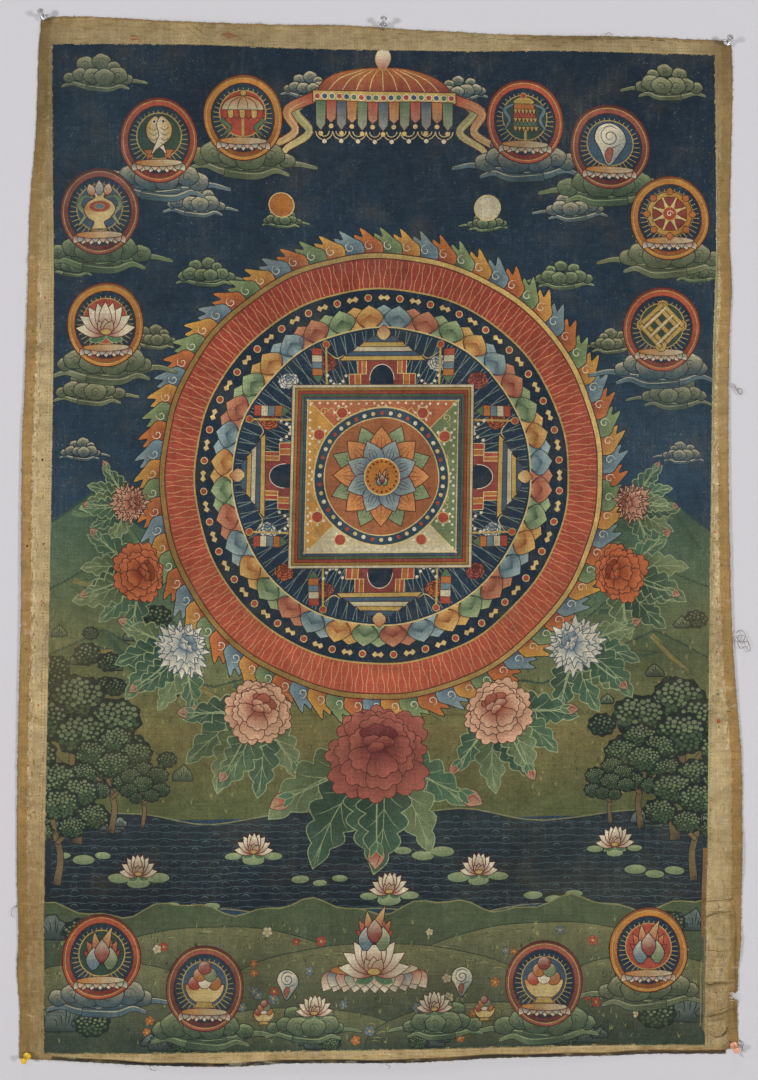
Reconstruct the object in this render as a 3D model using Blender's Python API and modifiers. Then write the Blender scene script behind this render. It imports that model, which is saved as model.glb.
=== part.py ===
# An unmounted scroll painting: one sheet of primed and painted cotton, cut by hand and held flat
# on a wall by five push pins. Metres, +Z up, and the painted face looks towards -Y.
# The wall's face is the plane y = 0, and the origin is where the middle top pin enters it.
# Tables are in millimetres from there: across runs to the right, up runs upwards.

import math
from collections import namedtuple

import bmesh
import bpy
from mathutils import Matrix, Vector

MM = 0.001
CLEARANCE = 0.3 * MM  # left between pieces that touch

# The cloth
CLOTH_THICKNESS = 1.2 * MM
CLOTH_COLUMNS = 34
CLOTH_ROWS = 50
SLACK_AROUND_A_PIN = 60.0  # mm over which a pin lets go of the cloth
FLAT_BAND_HALF_WIDTH = 75.0  # mm, the part of the top edge that lies flat under the middle pin
FLAT_BAND_DEPTH = 55.0
FLAT_BAND_FADE = 70.0

# The cut edges, as (across, up), each from one corner to the next
TOP_EDGE = (
    (-375, 12), (-366, 14), (-333, 15), (-283, 12.5), (-234, 9.5), (-135, 6), (-47, 5.5),
    (0, 2.5), (47, -0.5), (96, -3), (146, -6), (195, -7), (294, -8), (344, -10.5), (373, -12),
    (383.5, -17),
)
BOTTOM_EDGE = (
    (-399.5, -1130), (-366, -1132), (-267, -1136.5), (-201, -1137.5), (-151, -1136.5),
    (-102, -1133), (30, -1132), (80, -1129.5), (129, -1127.5), (245, -1126), (294, -1124.5),
    (344, -1125), (391, -1125),
)
LEFT_EDGE = (
    (-375, 12), (-378, -21), (-381, -109), (-388, -197), (-389, -241), (-393, -384),
    (-396, -461), (-397, -637), (-400.5, -780), (-402, -934), (-400, -989), (-402, -1033),
    (-399, -1077), (-399.5, -1130),
)
RIGHT_EDGE = (
    (383.5, -17), (384.5, -65), (381.5, -197), (381.5, -241), (383.5, -285), (381, -330),
    (379.5, -450), (380.5, -549), (383.5, -659), (387, -714), (390, -749), (394, -797),
    (395, -857), (393.5, -989), (390, -1050), (391, -1125),
)

# The folds: soft ridges that stand away from the wall, with their middle, the turn of their
# length from level in degrees, half their length and width, and their rise
Fold = namedtuple("Fold", "name across up turn half_length half_width rise")
FOLDS = (
    Fold("foot stands off", -5, -1150, 0, 440, 170, 7.5),
    Fold("belly", 15, -560, 88, 640, 360, 2.6),
    Fold("left edge lift", -400, -600, 90, 450, 60, 2.4),
    Fold("right edge lift", 394, -560, 90, 430, 62, 2.8),
    Fold("right swell above the creases", 372, -905, -6, 130, 46, 2.6),
    Fold("right swell between the creases", 366, -1010, 8, 120, 34, 3.2),
    Fold("right swell below the creases", 360, -1066, 14, 90, 26, 2.2),
    Fold("left corner pull", -320, -1062, 33, 150, 34, 1.8),
    Fold("left lower swell", -372, -985, -4, 90, 40, 1.6),
    Fold("top edge, left of the middle", -190, 8, 1, 150, 60, 1.8),
    Fold("top edge, right of the middle", 195, -8, -1, 150, 60, 2.0),
    Fold("left cockle", -215, -640, 86, 420, 62, 1.3),
    Fold("right cockle", 188, -520, 93, 400, 70, 1.4),
    Fold("roll mark, upper", 0, -300, 1, 380, 30, 0.9),
    Fold("roll mark, lower", 0, -790, -1, 380, 34, 1.0),
)

# The push pins: where each enters the wall, how far its head leans to the right and up in
# degrees, the length of needle that stands out of the wall, and the moulding's colour
Pin = namedtuple("Pin", "name across up lean_right lean_up proud plastic")
CLEAR = (0.82, 0.84, 0.88)
YELLOW = (0.86, 0.52, 0.03)
SALMON = (0.86, 0.31, 0.17)
PINS = (
    Pin("top_middle", 0, 0, 5, 27, 7.0, CLEAR),
    Pin("top_left", -370, 11, -10, 17, 5.5, CLEAR),
    Pin("top_right", 377, -16.5, 4, 12, 5.5, CLEAR),
    Pin("bottom_left", -388.5, -1125, -11.5, -14.5, 4.2, YELLOW),
    Pin("bottom_right", 384.5, -1113.5, 4.5, -13, 4.0, SALMON),
)
NEEDLE_RADIUS = 0.6 * MM
NEEDLE_LENGTH = 11.0 * MM  # below the head
NEEDLE_POINT = 3.0 * MM
NEEDLE_SEAT = 6.8 * MM  # inside the head
NEEDLE_SIDES = 8
HEAD_SIDES = 20
PINHOLE_SIDES = 12
# The head's outer side from top to bottom, as (radius, height above its underside) in mm
HEAD_PROFILE = (
    (0, 10.6), (2.5, 10.5), (3.3, 10.2), (3.6, 9.6), (3.4, 8.9), (2.7, 8.1), (2.15, 6.9),
    (2.0, 5.0), (2.3, 3.3), (3.0, 2.3), (4.0, 1.7), (4.35, 1.2), (4.35, 0.6), (4.0, 0.0),
)

# Damage at the right edge and the lower right corner, as (across, up)
EDGE_TEAR = (
    (398, -1057), (387, -1058), (382.5, -1057), (381.5, -1059.5), (383.5, -1061),
    (382, -1063), (385, -1064.5), (389, -1065.5), (398, -1068),
)
LOST_CORNER = (
    (376.5, -1140), (377, -1126.5), (376.8, -1121.5), (378, -1120), (381, -1119.5),
    (385.5, -1120), (390, -1118.5), (400, -1118.5), (400, -1140),
)
CUT_HALF_DEPTH = 20 * MM


def clear_scene():
    for thing in list(bpy.data.objects):
        bpy.data.objects.remove(thing, do_unlink=True)


def new_collection(name):
    collection = bpy.data.collections.new(name)
    bpy.context.scene.collection.children.link(collection)
    return collection


def material(name, colour, roughness, metallic=0.0):
    made = bpy.data.materials.new(name)
    made.use_nodes = True
    shader = made.node_tree.nodes["Principled BSDF"]
    shader.inputs["Base Color"].default_value = (*colour, 1.0)
    shader.inputs["Roughness"].default_value = roughness
    shader.inputs["Metallic"].default_value = metallic
    return made


def add_object(name, mesh, collection, finish=None):
    made = bpy.data.objects.new(name, mesh)
    collection.objects.link(made)
    if finish:
        mesh.materials.append(finish)
    return made


def smooth_through(stops, place):
    """Height at a place on the smooth curve through stops, which are (place, height)."""
    stops = sorted(stops)
    last = len(stops) - 1
    i = max(k for k in range(last) if k == 0 or stops[k][0] <= place)

    def slope(k):
        (x0, y0), (x1, y1) = stops[max(k - 1, 0)], stops[min(k + 1, last)]
        return (y1 - y0) / (x1 - x0)

    (x0, y0), (x1, y1) = stops[i], stops[i + 1]
    step = x1 - x0
    t = (place - x0) / step
    return (
        (2 * t**3 - 3 * t**2 + 1) * y0
        + (t**3 - 2 * t**2 + t) * step * slope(i)
        + (3 * t**2 - 2 * t**3) * y1
        + (t**3 - t**2) * step * slope(i + 1)
    )


def level_edge(stops, share):
    """Point at a share of the way along an edge that runs across."""
    across = stops[0][0] + share * (stops[-1][0] - stops[0][0])
    return Vector((across, smooth_through(stops, across)))


def upright_edge(stops, share):
    """Point at a share of the way along an edge that runs down."""
    up = stops[0][1] + share * (stops[-1][1] - stops[0][1])
    return Vector((smooth_through([(u, a) for a, u in stops], up), up))


def on_cloth(u, v):
    """(across, up) of the cloth's point u of the way to the right and v of the way down."""
    top, bottom = level_edge(TOP_EDGE, u), level_edge(BOTTOM_EDGE, u)
    left, right = upright_edge(LEFT_EDGE, v), upright_edge(RIGHT_EDGE, v)
    corners = (
        (1 - v) * ((1 - u) * Vector(TOP_EDGE[0]) + u * Vector(TOP_EDGE[-1]))
        + v * ((1 - u) * Vector(BOTTOM_EDGE[0]) + u * Vector(BOTTOM_EDGE[-1]))
    )
    return (1 - v) * top + v * bottom + (1 - u) * left + u * right - corners


def hump(t):
    return math.cos(math.pi * t / 2) ** 2 if abs(t) < 1 else 0.0


def fade_in(t):
    t = min(max(t, 0.0), 1.0)
    return t * t * (3 - 2 * t)


def rise_of(fold, across, up):
    turn = math.radians(fold.turn)
    x, z = across - fold.across, up - fold.up
    along = x * math.cos(turn) + z * math.sin(turn)
    beside = z * math.cos(turn) - x * math.sin(turn)
    return fold.rise * hump(along / fold.half_length) * hump(beside / fold.half_width)


def stand_off(across, up):
    """How far the cloth's back stands from the wall, in mm. The pins hold it down."""
    rise = sum(rise_of(fold, across, up) for fold in FOLDS)
    for pin in PINS:
        distance = math.hypot(across - pin.across, up - pin.up)
        rise *= 1 - math.exp(-((distance / SLACK_AROUND_A_PIN) ** 2))
    beside = max(abs(across) - FLAT_BAND_HALF_WIDTH, 0.0)
    below = max(-up - FLAT_BAND_DEPTH, 0.0)
    return rise * fade_in(math.hypot(beside, below) / FLAT_BAND_FADE)


def flat_cutter(name, outline, collection):
    """A closed plate of this outline, through the cloth from front to back."""
    curve = bpy.data.curves.new(name, "CURVE")
    curve.dimensions = "2D"
    curve.fill_mode = "BOTH"
    curve.extrude = CUT_HALF_DEPTH
    spline = curve.splines.new("POLY")
    spline.points.add(len(outline) - 1)
    for point, (across, up) in zip(spline.points, outline):
        point.co = (across * MM, up * MM, 0, 1)
    spline.use_cyclic_u = True
    drawn = add_object(name + "_curve", curve, collection)
    drawn.rotation_euler = (math.pi / 2, 0, 0)
    bpy.context.view_layer.update()
    mesh = bpy.data.meshes.new_from_object(
        drawn.evaluated_get(bpy.context.evaluated_depsgraph_get())
    )
    plate = bmesh.new()
    plate.from_mesh(mesh)
    bmesh.ops.remove_doubles(plate, verts=plate.verts, dist=0.01 * MM)
    plate.to_mesh(mesh)
    plate.free()
    cutter = add_object(name, mesh, collection)
    cutter.matrix_world = drawn.matrix_world.copy()
    bpy.data.objects.remove(drawn, do_unlink=True)
    return cutter


def as_cutter(cutter):
    cutter.hide_render = True
    cutter.display_type = "WIRE"
    return cutter


def pin_frame(pin):
    """The pin's own frame: +Z runs out of the wall along the needle, from the wall's face."""
    right = math.tan(math.radians(pin.lean_right))
    up = math.tan(math.radians(pin.lean_up))
    out = Vector((right, -1.0, up)).normalized()
    turn = out.to_track_quat("Z", "Y").to_matrix().to_4x4()
    return Matrix.Translation((pin.across * MM, 0, pin.up * MM)) @ turn


def pinhole_cutter(pin, collection):
    mesh = bpy.data.meshes.new("pinhole_" + pin.name)
    drill = bmesh.new()
    bmesh.ops.create_cone(
        drill,
        cap_ends=True,
        segments=PINHOLE_SIDES,
        radius1=NEEDLE_RADIUS + CLEARANCE,
        radius2=NEEDLE_RADIUS + CLEARANCE,
        depth=2 * CUT_HALF_DEPTH,
    )
    drill.to_mesh(mesh)
    drill.free()
    cutter = add_object(mesh.name, mesh, collection)
    cutter.matrix_world = pin_frame(pin)
    return cutter


def build_cloth(parts, cutters):
    mesh = bpy.data.meshes.new("painting_cloth")
    sheet = bmesh.new()
    bmesh.ops.create_grid(sheet, x_segments=CLOTH_COLUMNS, y_segments=CLOTH_ROWS, size=0.5)
    for vertex in sheet.verts:
        across, up = on_cloth(vertex.co.x + 0.5, 0.5 - vertex.co.y)
        back = CLEARANCE + stand_off(across, up) * MM
        vertex.co = (across * MM, -back - CLOTH_THICKNESS, up * MM)
    sheet.to_mesh(mesh)
    sheet.free()
    cotton = material("painted_cotton", (0.06, 0.09, 0.08), 0.85)
    cloth = add_object("painting_cloth", mesh, parts, cotton)
    thickness = cloth.modifiers.new("thickness", "SOLIDIFY")
    thickness.thickness = CLOTH_THICKNESS
    thickness.offset = -1
    thickness.use_even_offset = True
    holes = [pinhole_cutter(pin, cutters) for pin in PINS]
    holes.append(flat_cutter("edge_tear", EDGE_TEAR, cutters))
    holes.append(flat_cutter("lost_corner", LOST_CORNER, cutters))
    for hole in holes:
        cut = cloth.modifiers.new(hole.name, "BOOLEAN")
        cut.operation = "DIFFERENCE"
        cut.solver = "EXACT"
        cut.object = as_cutter(hole)
    return cloth


def turned_mesh(name, profile):
    """Mesh of a profile of (radius, height) in metres, from the top down, for a Screw modifier."""
    mesh = bpy.data.meshes.new(name)
    outline = bmesh.new()
    points = [outline.verts.new((radius, 0, height)) for radius, height in profile]
    for first, second in zip(points, points[1:]):
        outline.edges.new((first, second))
    outline.to_mesh(mesh)
    outline.free()
    return mesh


def turn(thing, sides):
    lathe = thing.modifiers.new("turned", "SCREW")
    lathe.axis = "Z"
    lathe.steps = lathe.render_steps = sides
    lathe.use_merge_vertices = True
    lathe.merge_threshold = 0.0001
    lathe.use_smooth_shade = True


def head_mesh():
    bore = NEEDLE_RADIUS + CLEARANCE
    outside = [(radius * MM, height * MM) for radius, height in HEAD_PROFILE]
    return turned_mesh("pin_head", [*outside, (bore, 0), (bore, NEEDLE_SEAT), (0, NEEDLE_SEAT)])


def needle_mesh():
    top = NEEDLE_SEAT - CLEARANCE
    return turned_mesh(
        "pin_needle",
        [
            (0, top),
            (NEEDLE_RADIUS, top),
            (NEEDLE_RADIUS, NEEDLE_POINT - NEEDLE_LENGTH),
            (0, -NEEDLE_LENGTH),
        ],
    )


def build_pins(parts):
    steel = material("pin_steel", (0.55, 0.55, 0.57), 0.25, 1.0)
    plastics = {}
    for pin in PINS:
        if pin.plastic not in plastics:
            plastics[pin.plastic] = material("pin_plastic", pin.plastic, 0.2)
        seat = bpy.data.objects.new("pin_" + pin.name, None)
        parts.objects.link(seat)
        seat.matrix_world = pin_frame(pin)
        head = add_object("pin_head_" + pin.name, head_mesh(), parts, plastics[pin.plastic])
        needle = add_object("pin_needle_" + pin.name, needle_mesh(), parts, steel)
        for piece, sides in ((head, HEAD_SIDES), (needle, NEEDLE_SIDES)):
            piece.parent = seat
            piece.location = (0, 0, pin.proud * MM)
            turn(piece, sides)


def build():
    clear_scene()
    parts = new_collection("scroll_painting_cloth")
    cutters = new_collection("cutters")
    build_cloth(parts, cutters)
    build_pins(parts)


build()
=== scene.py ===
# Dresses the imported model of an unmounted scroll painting: primed and painted cotton, held flat on
# a wall by five push pins. Metres, +Z up, painted face towards -Y. Tables are in millimetres from
# where the middle top pin enters the wall: across runs to the right, up runs upwards.
import cmath
import math
import random

import bmesh
import bpy
import numpy as np
from mathutils import Matrix, Vector
from mathutils.geometry import delaunay_2d_cdt


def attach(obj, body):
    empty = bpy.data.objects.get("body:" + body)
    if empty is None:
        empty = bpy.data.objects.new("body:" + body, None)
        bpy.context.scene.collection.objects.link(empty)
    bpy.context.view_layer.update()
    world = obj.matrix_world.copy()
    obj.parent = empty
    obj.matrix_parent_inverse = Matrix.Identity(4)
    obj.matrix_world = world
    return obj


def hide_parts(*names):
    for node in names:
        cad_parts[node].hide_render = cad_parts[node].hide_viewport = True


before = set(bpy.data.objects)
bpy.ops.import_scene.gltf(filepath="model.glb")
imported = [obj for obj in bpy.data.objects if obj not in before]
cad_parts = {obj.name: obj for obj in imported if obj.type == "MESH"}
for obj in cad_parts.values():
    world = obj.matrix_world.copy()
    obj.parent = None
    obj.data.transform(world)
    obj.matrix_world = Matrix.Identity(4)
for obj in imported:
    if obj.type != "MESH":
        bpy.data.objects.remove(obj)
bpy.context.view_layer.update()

mm = 0.001
rnd = random.Random(11)
vary, choose = rnd.uniform, rnd.choice

# Camera and stage

cameraSet = {
    "middle": (-4.0, -560.5),  # across and up of the point it looks at, mm
    "distance": 1350.0,
    "fieldOfView": 47.5,  # degrees, top to bottom
}

stageSet = {
    "wall": "#cbc9cd",
    "wallReach": (2600.0, 900.0),  # mm to each side and upwards
    "floor": "#d8d6d2",
    "floorReach": 4000.0,
    "floorDrop": 1600.0,  # mm below the middle top pin
    "sky": "#f3f4f8",
    "skyPower": 0.21,
    "lampPower": 58.0,
    # Each lamp's place, the place it aims at, its side in mm, and its share of the power
    "lamps": {
        "lamp_left": ((-2500, -2500, -640), (0, 0, -560.5), 420, 1.0),
        "lamp_right": ((2500, -2500, -640), (0, 0, -560.5), 420, 1.0),
        "lamp_above": ((0, -1700, 1900), (0, 0, -700), 900, 0.26),
        "lamp_behind": ((600, 2800, 300), (0, 0, -560.5), 1600, 0.9),
    },
}


def toLinear(colour):
    parts = [int(colour[k:k + 2], 16) / 255 for k in (1, 3, 5)]
    return [c / 12.92 if c <= 0.04045 else ((c + 0.055) / 1.055) ** 2.4 for c in parts]


def addNode(material, kind, inputs=None, **settings):
    tree = material.node_tree
    made = tree.nodes.new("ShaderNode" + kind)
    for name, value in settings.items():
        setattr(made, name, value)
    for socket, value in (inputs or {}).items():
        if isinstance(value, bpy.types.NodeSocket):
            tree.links.new(value, made.inputs[socket])
        else:
            made.inputs[socket].default_value = value
    return made


def newMaterial(name):
    made = bpy.data.materials.new(name)
    made.use_nodes = True
    made.node_tree.nodes.clear()
    return made


def shade(colour, share=1.0):
    return (*[c * share for c in toLinear(colour)], 1)


def blend(material, share, first, second):
    return addNode(material, "Mix", {0: share, 6: first, 7: second}, data_type="RGBA").outputs[2]


def grained(name, scale, detail, first, second):
    # A new material, a fine noise over its object, and two colours mixed by it
    made = newMaterial(name)
    place = addNode(made, "TexCoord").outputs["Object"]
    grain = addNode(made, "TexNoise", {"Vector": place, "Scale": scale, "Detail": detail}).outputs["Fac"]
    return made, grain, blend(made, grain, first, second)


def finished(material, inputs, clearBehind=False):
    shown = addNode(material, "BsdfPrincipled", inputs).outputs[0]
    if clearBehind:
        side = addNode(material, "NewGeometry").outputs["Backfacing"]
        clear = addNode(material, "BsdfTransparent").outputs[0]
        shown = addNode(material, "MixShader", {0: side, 1: shown, 2: clear}).outputs[0]
    addNode(material, "OutputMaterial", {0: shown})
    return material


def addObject(name, data):
    made = bpy.data.objects.new(name, data)
    bpy.context.scene.collection.objects.link(made)
    return made


def plainPlane(name, corners, finish):
    mesh = bpy.data.meshes.new(name)
    mesh.from_pydata([Vector(c) * mm for c in corners], [], [(0, 1, 2, 3)])
    mesh.materials.append(finish)
    made = addObject(name, mesh)
    return made


def mattePaint(name, colour, seenFromBehind):
    # Emulsion paint, rolled: no gloss, a faint unevenness. The wall is clear from behind.
    made, _, tone = grained(name, 180.0, 3.0, shade(colour), shade(colour, 0.95))
    return finished(made, {"Base Color": tone, "Roughness": 0.9, "Specular IOR Level": 0.2},
        not seenFromBehind)


def addLamp(name, spot, aim, size, power):
    lamp = bpy.data.lights.new(name, "AREA")
    lamp.shape = "SQUARE"
    lamp.size = size * mm
    lamp.energy = power
    made = addObject(name, lamp)
    made.location = Vector(spot) * mm
    made.rotation_euler = (Vector(aim) * mm - made.location).to_track_quat("-Z", "Y").to_euler()


def setStage():
    across, up = cameraSet["middle"]
    camera = bpy.data.cameras.new("camera")
    camera.sensor_fit = "VERTICAL"
    camera.angle_y = math.radians(cameraSet["fieldOfView"])
    camera.clip_start = 0.02
    made = addObject("camera", camera)
    made.location = (across * mm, -cameraSet["distance"] * mm, up * mm)
    made.rotation_euler = (math.pi / 2, 0, 0)
    bpy.context.scene.camera = made

    drop, far = -stageSet["floorDrop"], stageSet["floorReach"]
    side, top = stageSet["wallReach"]
    wall = plainPlane(
        "wall", [(-side, 0, drop), (side, 0, drop), (side, 0, top), (-side, 0, top)],
        mattePaint("emulsion_paint_rolled", stageSet["wall"], False))
    wall.visible_shadow = False  # so that the lamp behind lights the cloth's back
    wall.visible_diffuse = False
    plainPlane(
        "floor", [(-far, -far, drop), (far, -far, drop), (far, far, drop), (-far, far, drop)],
        mattePaint("floor_paint_rolled", stageSet["floor"], True))
    for name, (spot, aim, size, share) in stageSet["lamps"].items():
        addLamp(name, spot, aim, size, stageSet["lampPower"] * share)

    world = bpy.data.worlds.new("studio")
    world.use_nodes = True
    sky = world.node_tree.nodes["Background"].inputs
    sky[0].default_value = shade(stageSet["sky"])
    sky[1].default_value = stageSet["skyPower"]
    bpy.context.scene.world = world
    bpy.context.scene.view_settings.view_transform = "Standard"


setStage()
print("stage and camera set")

# The cloth's form

clothSet = {
    "clearance": 0.3,  # mm between the back and the wall
    "thickness": 1.1,
    "about": (780.0, 1130.0),  # mm across and down, for spacing points
    "grid": 9.5,  # mm between the points that carry the folds
    "edgeStep": 2.4,  # mm between the points of the cut edge
    "fray": 0.28,  # mm, how far a cut thread leaves the line of the edge
    "slackAroundPin": 60.0,
    "insideFrom": 376.0,  # a crease that starts nearer to the middle fades at both ends
    "flatBand": (75.0, 55.0, 70.0),  # half width, depth and fade of the part under the middle pin
}

clothEdges = {
    "top": [
        (-375, 12), (-366, 14), (-333, 15), (-283, 12.5), (-234, 9.5), (-135, 6), (-47, 5.5),
        (0, 2.5), (47, -0.5), (96, -3), (146, -6), (195, -7), (294, -8), (344, -10.5),
        (373, -12), (383.5, -17)],
    "bottom": [
        (-399.5, -1130), (-366, -1132), (-267, -1136.5), (-201, -1137.5), (-151, -1136.5),
        (-102, -1133), (30, -1132), (80, -1129.5), (129, -1127.5), (245, -1126), (294, -1124.5),
        (344, -1125), (391, -1125)],
    "left": [
        (-375, 12), (-378, -21), (-381, -109), (-388, -197), (-389, -241), (-393, -384),
        (-396, -461), (-397, -637), (-400.5, -780), (-402, -934), (-400, -989), (-402, -1033),
        (-399, -1077), (-399.5, -1130)],
    "right": [
        (383.5, -17), (384.5, -65), (381.5, -197), (381.5, -241), (383.5, -285), (381, -330),
        (379.5, -450), (380.5, -549), (383.5, -659), (387, -714), (390, -749), (394, -797),
        (395, -857), (393.5, -989), (390, -1050), (391, -1125)],
}
# The painted field inside the margins
fieldEdges = {
    "top": [
        (-363.5, -15.5), (-294, -15.3), (-195, -16.8), (-91, -20.3), (2, -22), (96, -23.4), (200, -23.6),
        (364.8, -27.4)],
    "bottom": [
        (-372.5, -1125.5), (-245, -1124), (-146, -1121.4), (3, -1118.4), (151, -1116), (250, -1114.9),
        (354, -1115.8)],
    "left": [
        (-363.5, -15.5), (-362.6, -150), (-361.4, -250), (-362.4, -406), (-367.6, -714), (-371.8, -934),
        (-372.5, -1125.5)],
    "right": [
        (364.8, -27.4), (366.2, -130), (366.4, -250), (363.2, -340), (362, -400), (359.8, -580),
        (358.6, -692), (357.4, -846), (354.6, -1022), (354, -1115.8)],
}
# Where the edge stops, the torn line, and where the edge goes on
edgeTear = (-1057.2, [
    (387, -1058), (382.5, -1057), (381.5, -1059.5), (383.5, -1061), (382, -1063), (385, -1064.5),
    (389, -1065.5)], -1066.5)
lostCorner = (-1118, [
    (385.5, -1120), (381, -1119.5), (378, -1120), (376.8, -1121.5), (377, -1124.6)], 376)

# name, across, up, turn of its length from level, half length, half width, rise
folds = [
    ("foot stands off", -5, -1150, 0, 440, 170, 7.5),
    ("belly", 15, -560, 88, 640, 360, 2.6),
    ("left edge lift", -400, -600, 90, 450, 60, 2.4),
    ("right edge lift", 394, -560, 90, 430, 62, 2.8),
    ("right swell above the creases", 372, -905, -6, 130, 46, 2.6),
    ("right swell between the creases", 366, -1010, 8, 120, 34, 3.2),
    ("right swell below the creases", 360, -1066, 14, 90, 26, 2.2),
    ("left corner pull", -320, -1062, 33, 150, 34, 1.8),
    ("left lower swell", -372, -985, -4, 90, 40, 1.6),
    ("top edge, left of the middle", -190, 8, 1, 150, 60, 1.8),
    ("top edge, right of the middle", 195, -8, -1, 150, 60, 2.0),
    ("left cockle", -215, -640, 86, 420, 62, 1.3),
    ("right cockle", 188, -520, 93, 400, 70, 1.4),
    ("roll mark, upper", 0, -300, 1, 380, 30, 0.9),
    ("roll mark, lower", 0, -790, -1, 380, 34, 1.0),
]

# The creases, as soft troughs (-) and ridges (+): height, half width, how much shade is painted along it,
# then the line
creases = [
    (0.75, 3.4, 0.30, [(391, -948), (372, -953), (350, -958)]),
    (-0.6, 2.8, 0.34, [(392, -962), (374, -969), (352, -975), (322, -978)]),
    (0.7, 3.6, 0.30, [(391, -1040), (371, -1046), (344, -1052), (300, -1057)]),
    (-0.65, 3.0, 0.38, [(390, -1075), (368, -1081), (340, -1086), (296, -1089)]),
    (-0.8, 2.6, 0.42, [(378, -1090), (379, -1100), (373, -1106), (363, -1108)]),
    (0.5, 4.0, 0.12, [(-398, -868), (-372, -872), (-330, -874), (-270, -873)]),
    (-0.45, 3.0, 0.16, [(-401, -955), (-380, -961), (-352, -963)]),
    (0.5, 3.6, 0.14, [(-400, -1012), (-376, -1018), (-340, -1030), (-300, -1049)]),
    (-0.4, 3.0, 0.10, [(-396, -470), (-370, -473), (-338, -472)]),
    (0.45, 4.0, 0.10, [(-390, -252), (-360, -255), (-318, -254)]),
    (0.45, 4.0, 0.10, [(380, -322), (352, -325), (310, -324)]),
    (-0.4, 3.0, 0.12, [(381, -498), (356, -502), (322, -503)]),
    (0.4, 4.4, 0.08, [(-330, -300), (-160, -296), (20, -299), (190, -303), (330, -301)]),
    (-0.35, 3.6, 0.08, [(-338, -436), (-120, -440), (110, -437), (320, -441)]),
    (0.4, 4.6, 0.08, [(-345, -588), (-140, -584), (90, -587), (330, -583)]),
    (-0.35, 3.8, 0.09, [(-350, -700), (-100, -703), (140, -699), (338, -702)]),
    (0.42, 4.4, 0.09, [(-352, -792), (-130, -788), (110, -791), (342, -787)]),
    (-0.35, 3.6, 0.09, [(-354, -902), (-120, -898), (130, -901), (340, -897)]),
    (0.3, 5.0, 0.05, [(-120, -40), (-124, -210), (-119, -420)]),
    (0.3, 5.0, 0.05, [(142, -700), (146, -880), (141, -1080)]),
]

# name, across, up, lean to the right and up in degrees, needle that stands out, plastic
pins = [
    ("top_middle", 0, 0, 5, 27, 7.0, "clear_plastic"),
    ("top_left", -370, 11, -10, 17, 5.5, "clear_plastic"),
    ("top_right", 377, -16.5, 4, 12, 5.5, "clear_plastic"),
    ("bottom_left", -388.5, -1125, -11.5, -14.5, 4.2, "yellow_plastic"),
    ("bottom_right", 384.5, -1113.5, 4.5, -13, 4.0, "salmon_plastic"),
]


def smoothThrough(stops, places):
    stops = np.array(sorted(stops), float)
    x, y = stops[:, 0], stops[:, 1]
    before, after = np.maximum(np.arange(len(x)) - 1, 0), np.minimum(np.arange(len(x)) + 1, len(x) - 1)
    slope = (y[after] - y[before]) / (x[after] - x[before])
    i = np.clip(np.searchsorted(x, places, "right") - 1, 0, len(x) - 2)
    step = x[i + 1] - x[i]
    t = (places - x[i]) / step
    return (
        (2 * t**3 - 3 * t**2 + 1) * y[i] + (t**3 - 2 * t**2 + t) * step * slope[i]
        + (3 * t**2 - 2 * t**3) * y[i + 1] + (t**3 - t**2) * step * slope[i + 1])


def onPatch(edges, u, v):
    # The point u of the way right and v of the way down inside four edges, as across + up * i
    def level(stops):
        across = stops[0][0] + u * (stops[-1][0] - stops[0][0])
        return across + 1j * smoothThrough(stops, across)

    def upright(stops):
        up = stops[0][1] + v * (stops[-1][1] - stops[0][1])
        return smoothThrough([(b, a) for a, b in stops], up) + 1j * up

    corner = {side: [complex(*edges[side][k]) for k in (0, -1)] for side in ("top", "bottom")}
    corners = (
        (1 - v) * ((1 - u) * corner["top"][0] + u * corner["top"][1])
        + v * ((1 - u) * corner["bottom"][0] + u * corner["bottom"][1]))
    return (
        (1 - v) * level(edges["top"]) + v * level(edges["bottom"])
        + (1 - u) * upright(edges["left"]) + u * upright(edges["right"]) - corners)


def edgeSpot(edges, u, v):
    return onPatch(edges, np.array([u + 0.0]), np.array([v + 0.0]))[0]


def toward(degrees):
    # One step that way, as across + up * i
    return cmath.exp(1j * math.radians(degrees))


def hump(t):
    return np.where(np.abs(t) < 1, np.cos(np.pi * t / 2) ** 2, 0.0)


def standOff(spots):
    # How far the cloth's back stands from the wall, mm. The pins hold it down.
    rise = np.zeros(len(spots))
    for _, across, up, turn, halfLength, halfWidth, height in folds:
        local = (spots - complex(across, up)) * toward(-turn)
        rise += height * hump(local.real / halfLength) * hump(local.imag / halfWidth)
    for pin in pins:
        distance = np.abs(spots - complex(pin[1], pin[2]))
        rise *= 1 - np.exp(-((distance / clothSet["slackAroundPin"]) ** 2))
    halfWidth, depth, fade = clothSet["flatBand"]
    beside = np.maximum(np.abs(spots.real) - halfWidth, 0)
    below = np.maximum(-spots.imag - depth, 0)
    t = np.clip(np.hypot(beside, below) / fade, 0, 1)
    return rise * t * t * (3 - 2 * t)


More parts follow.
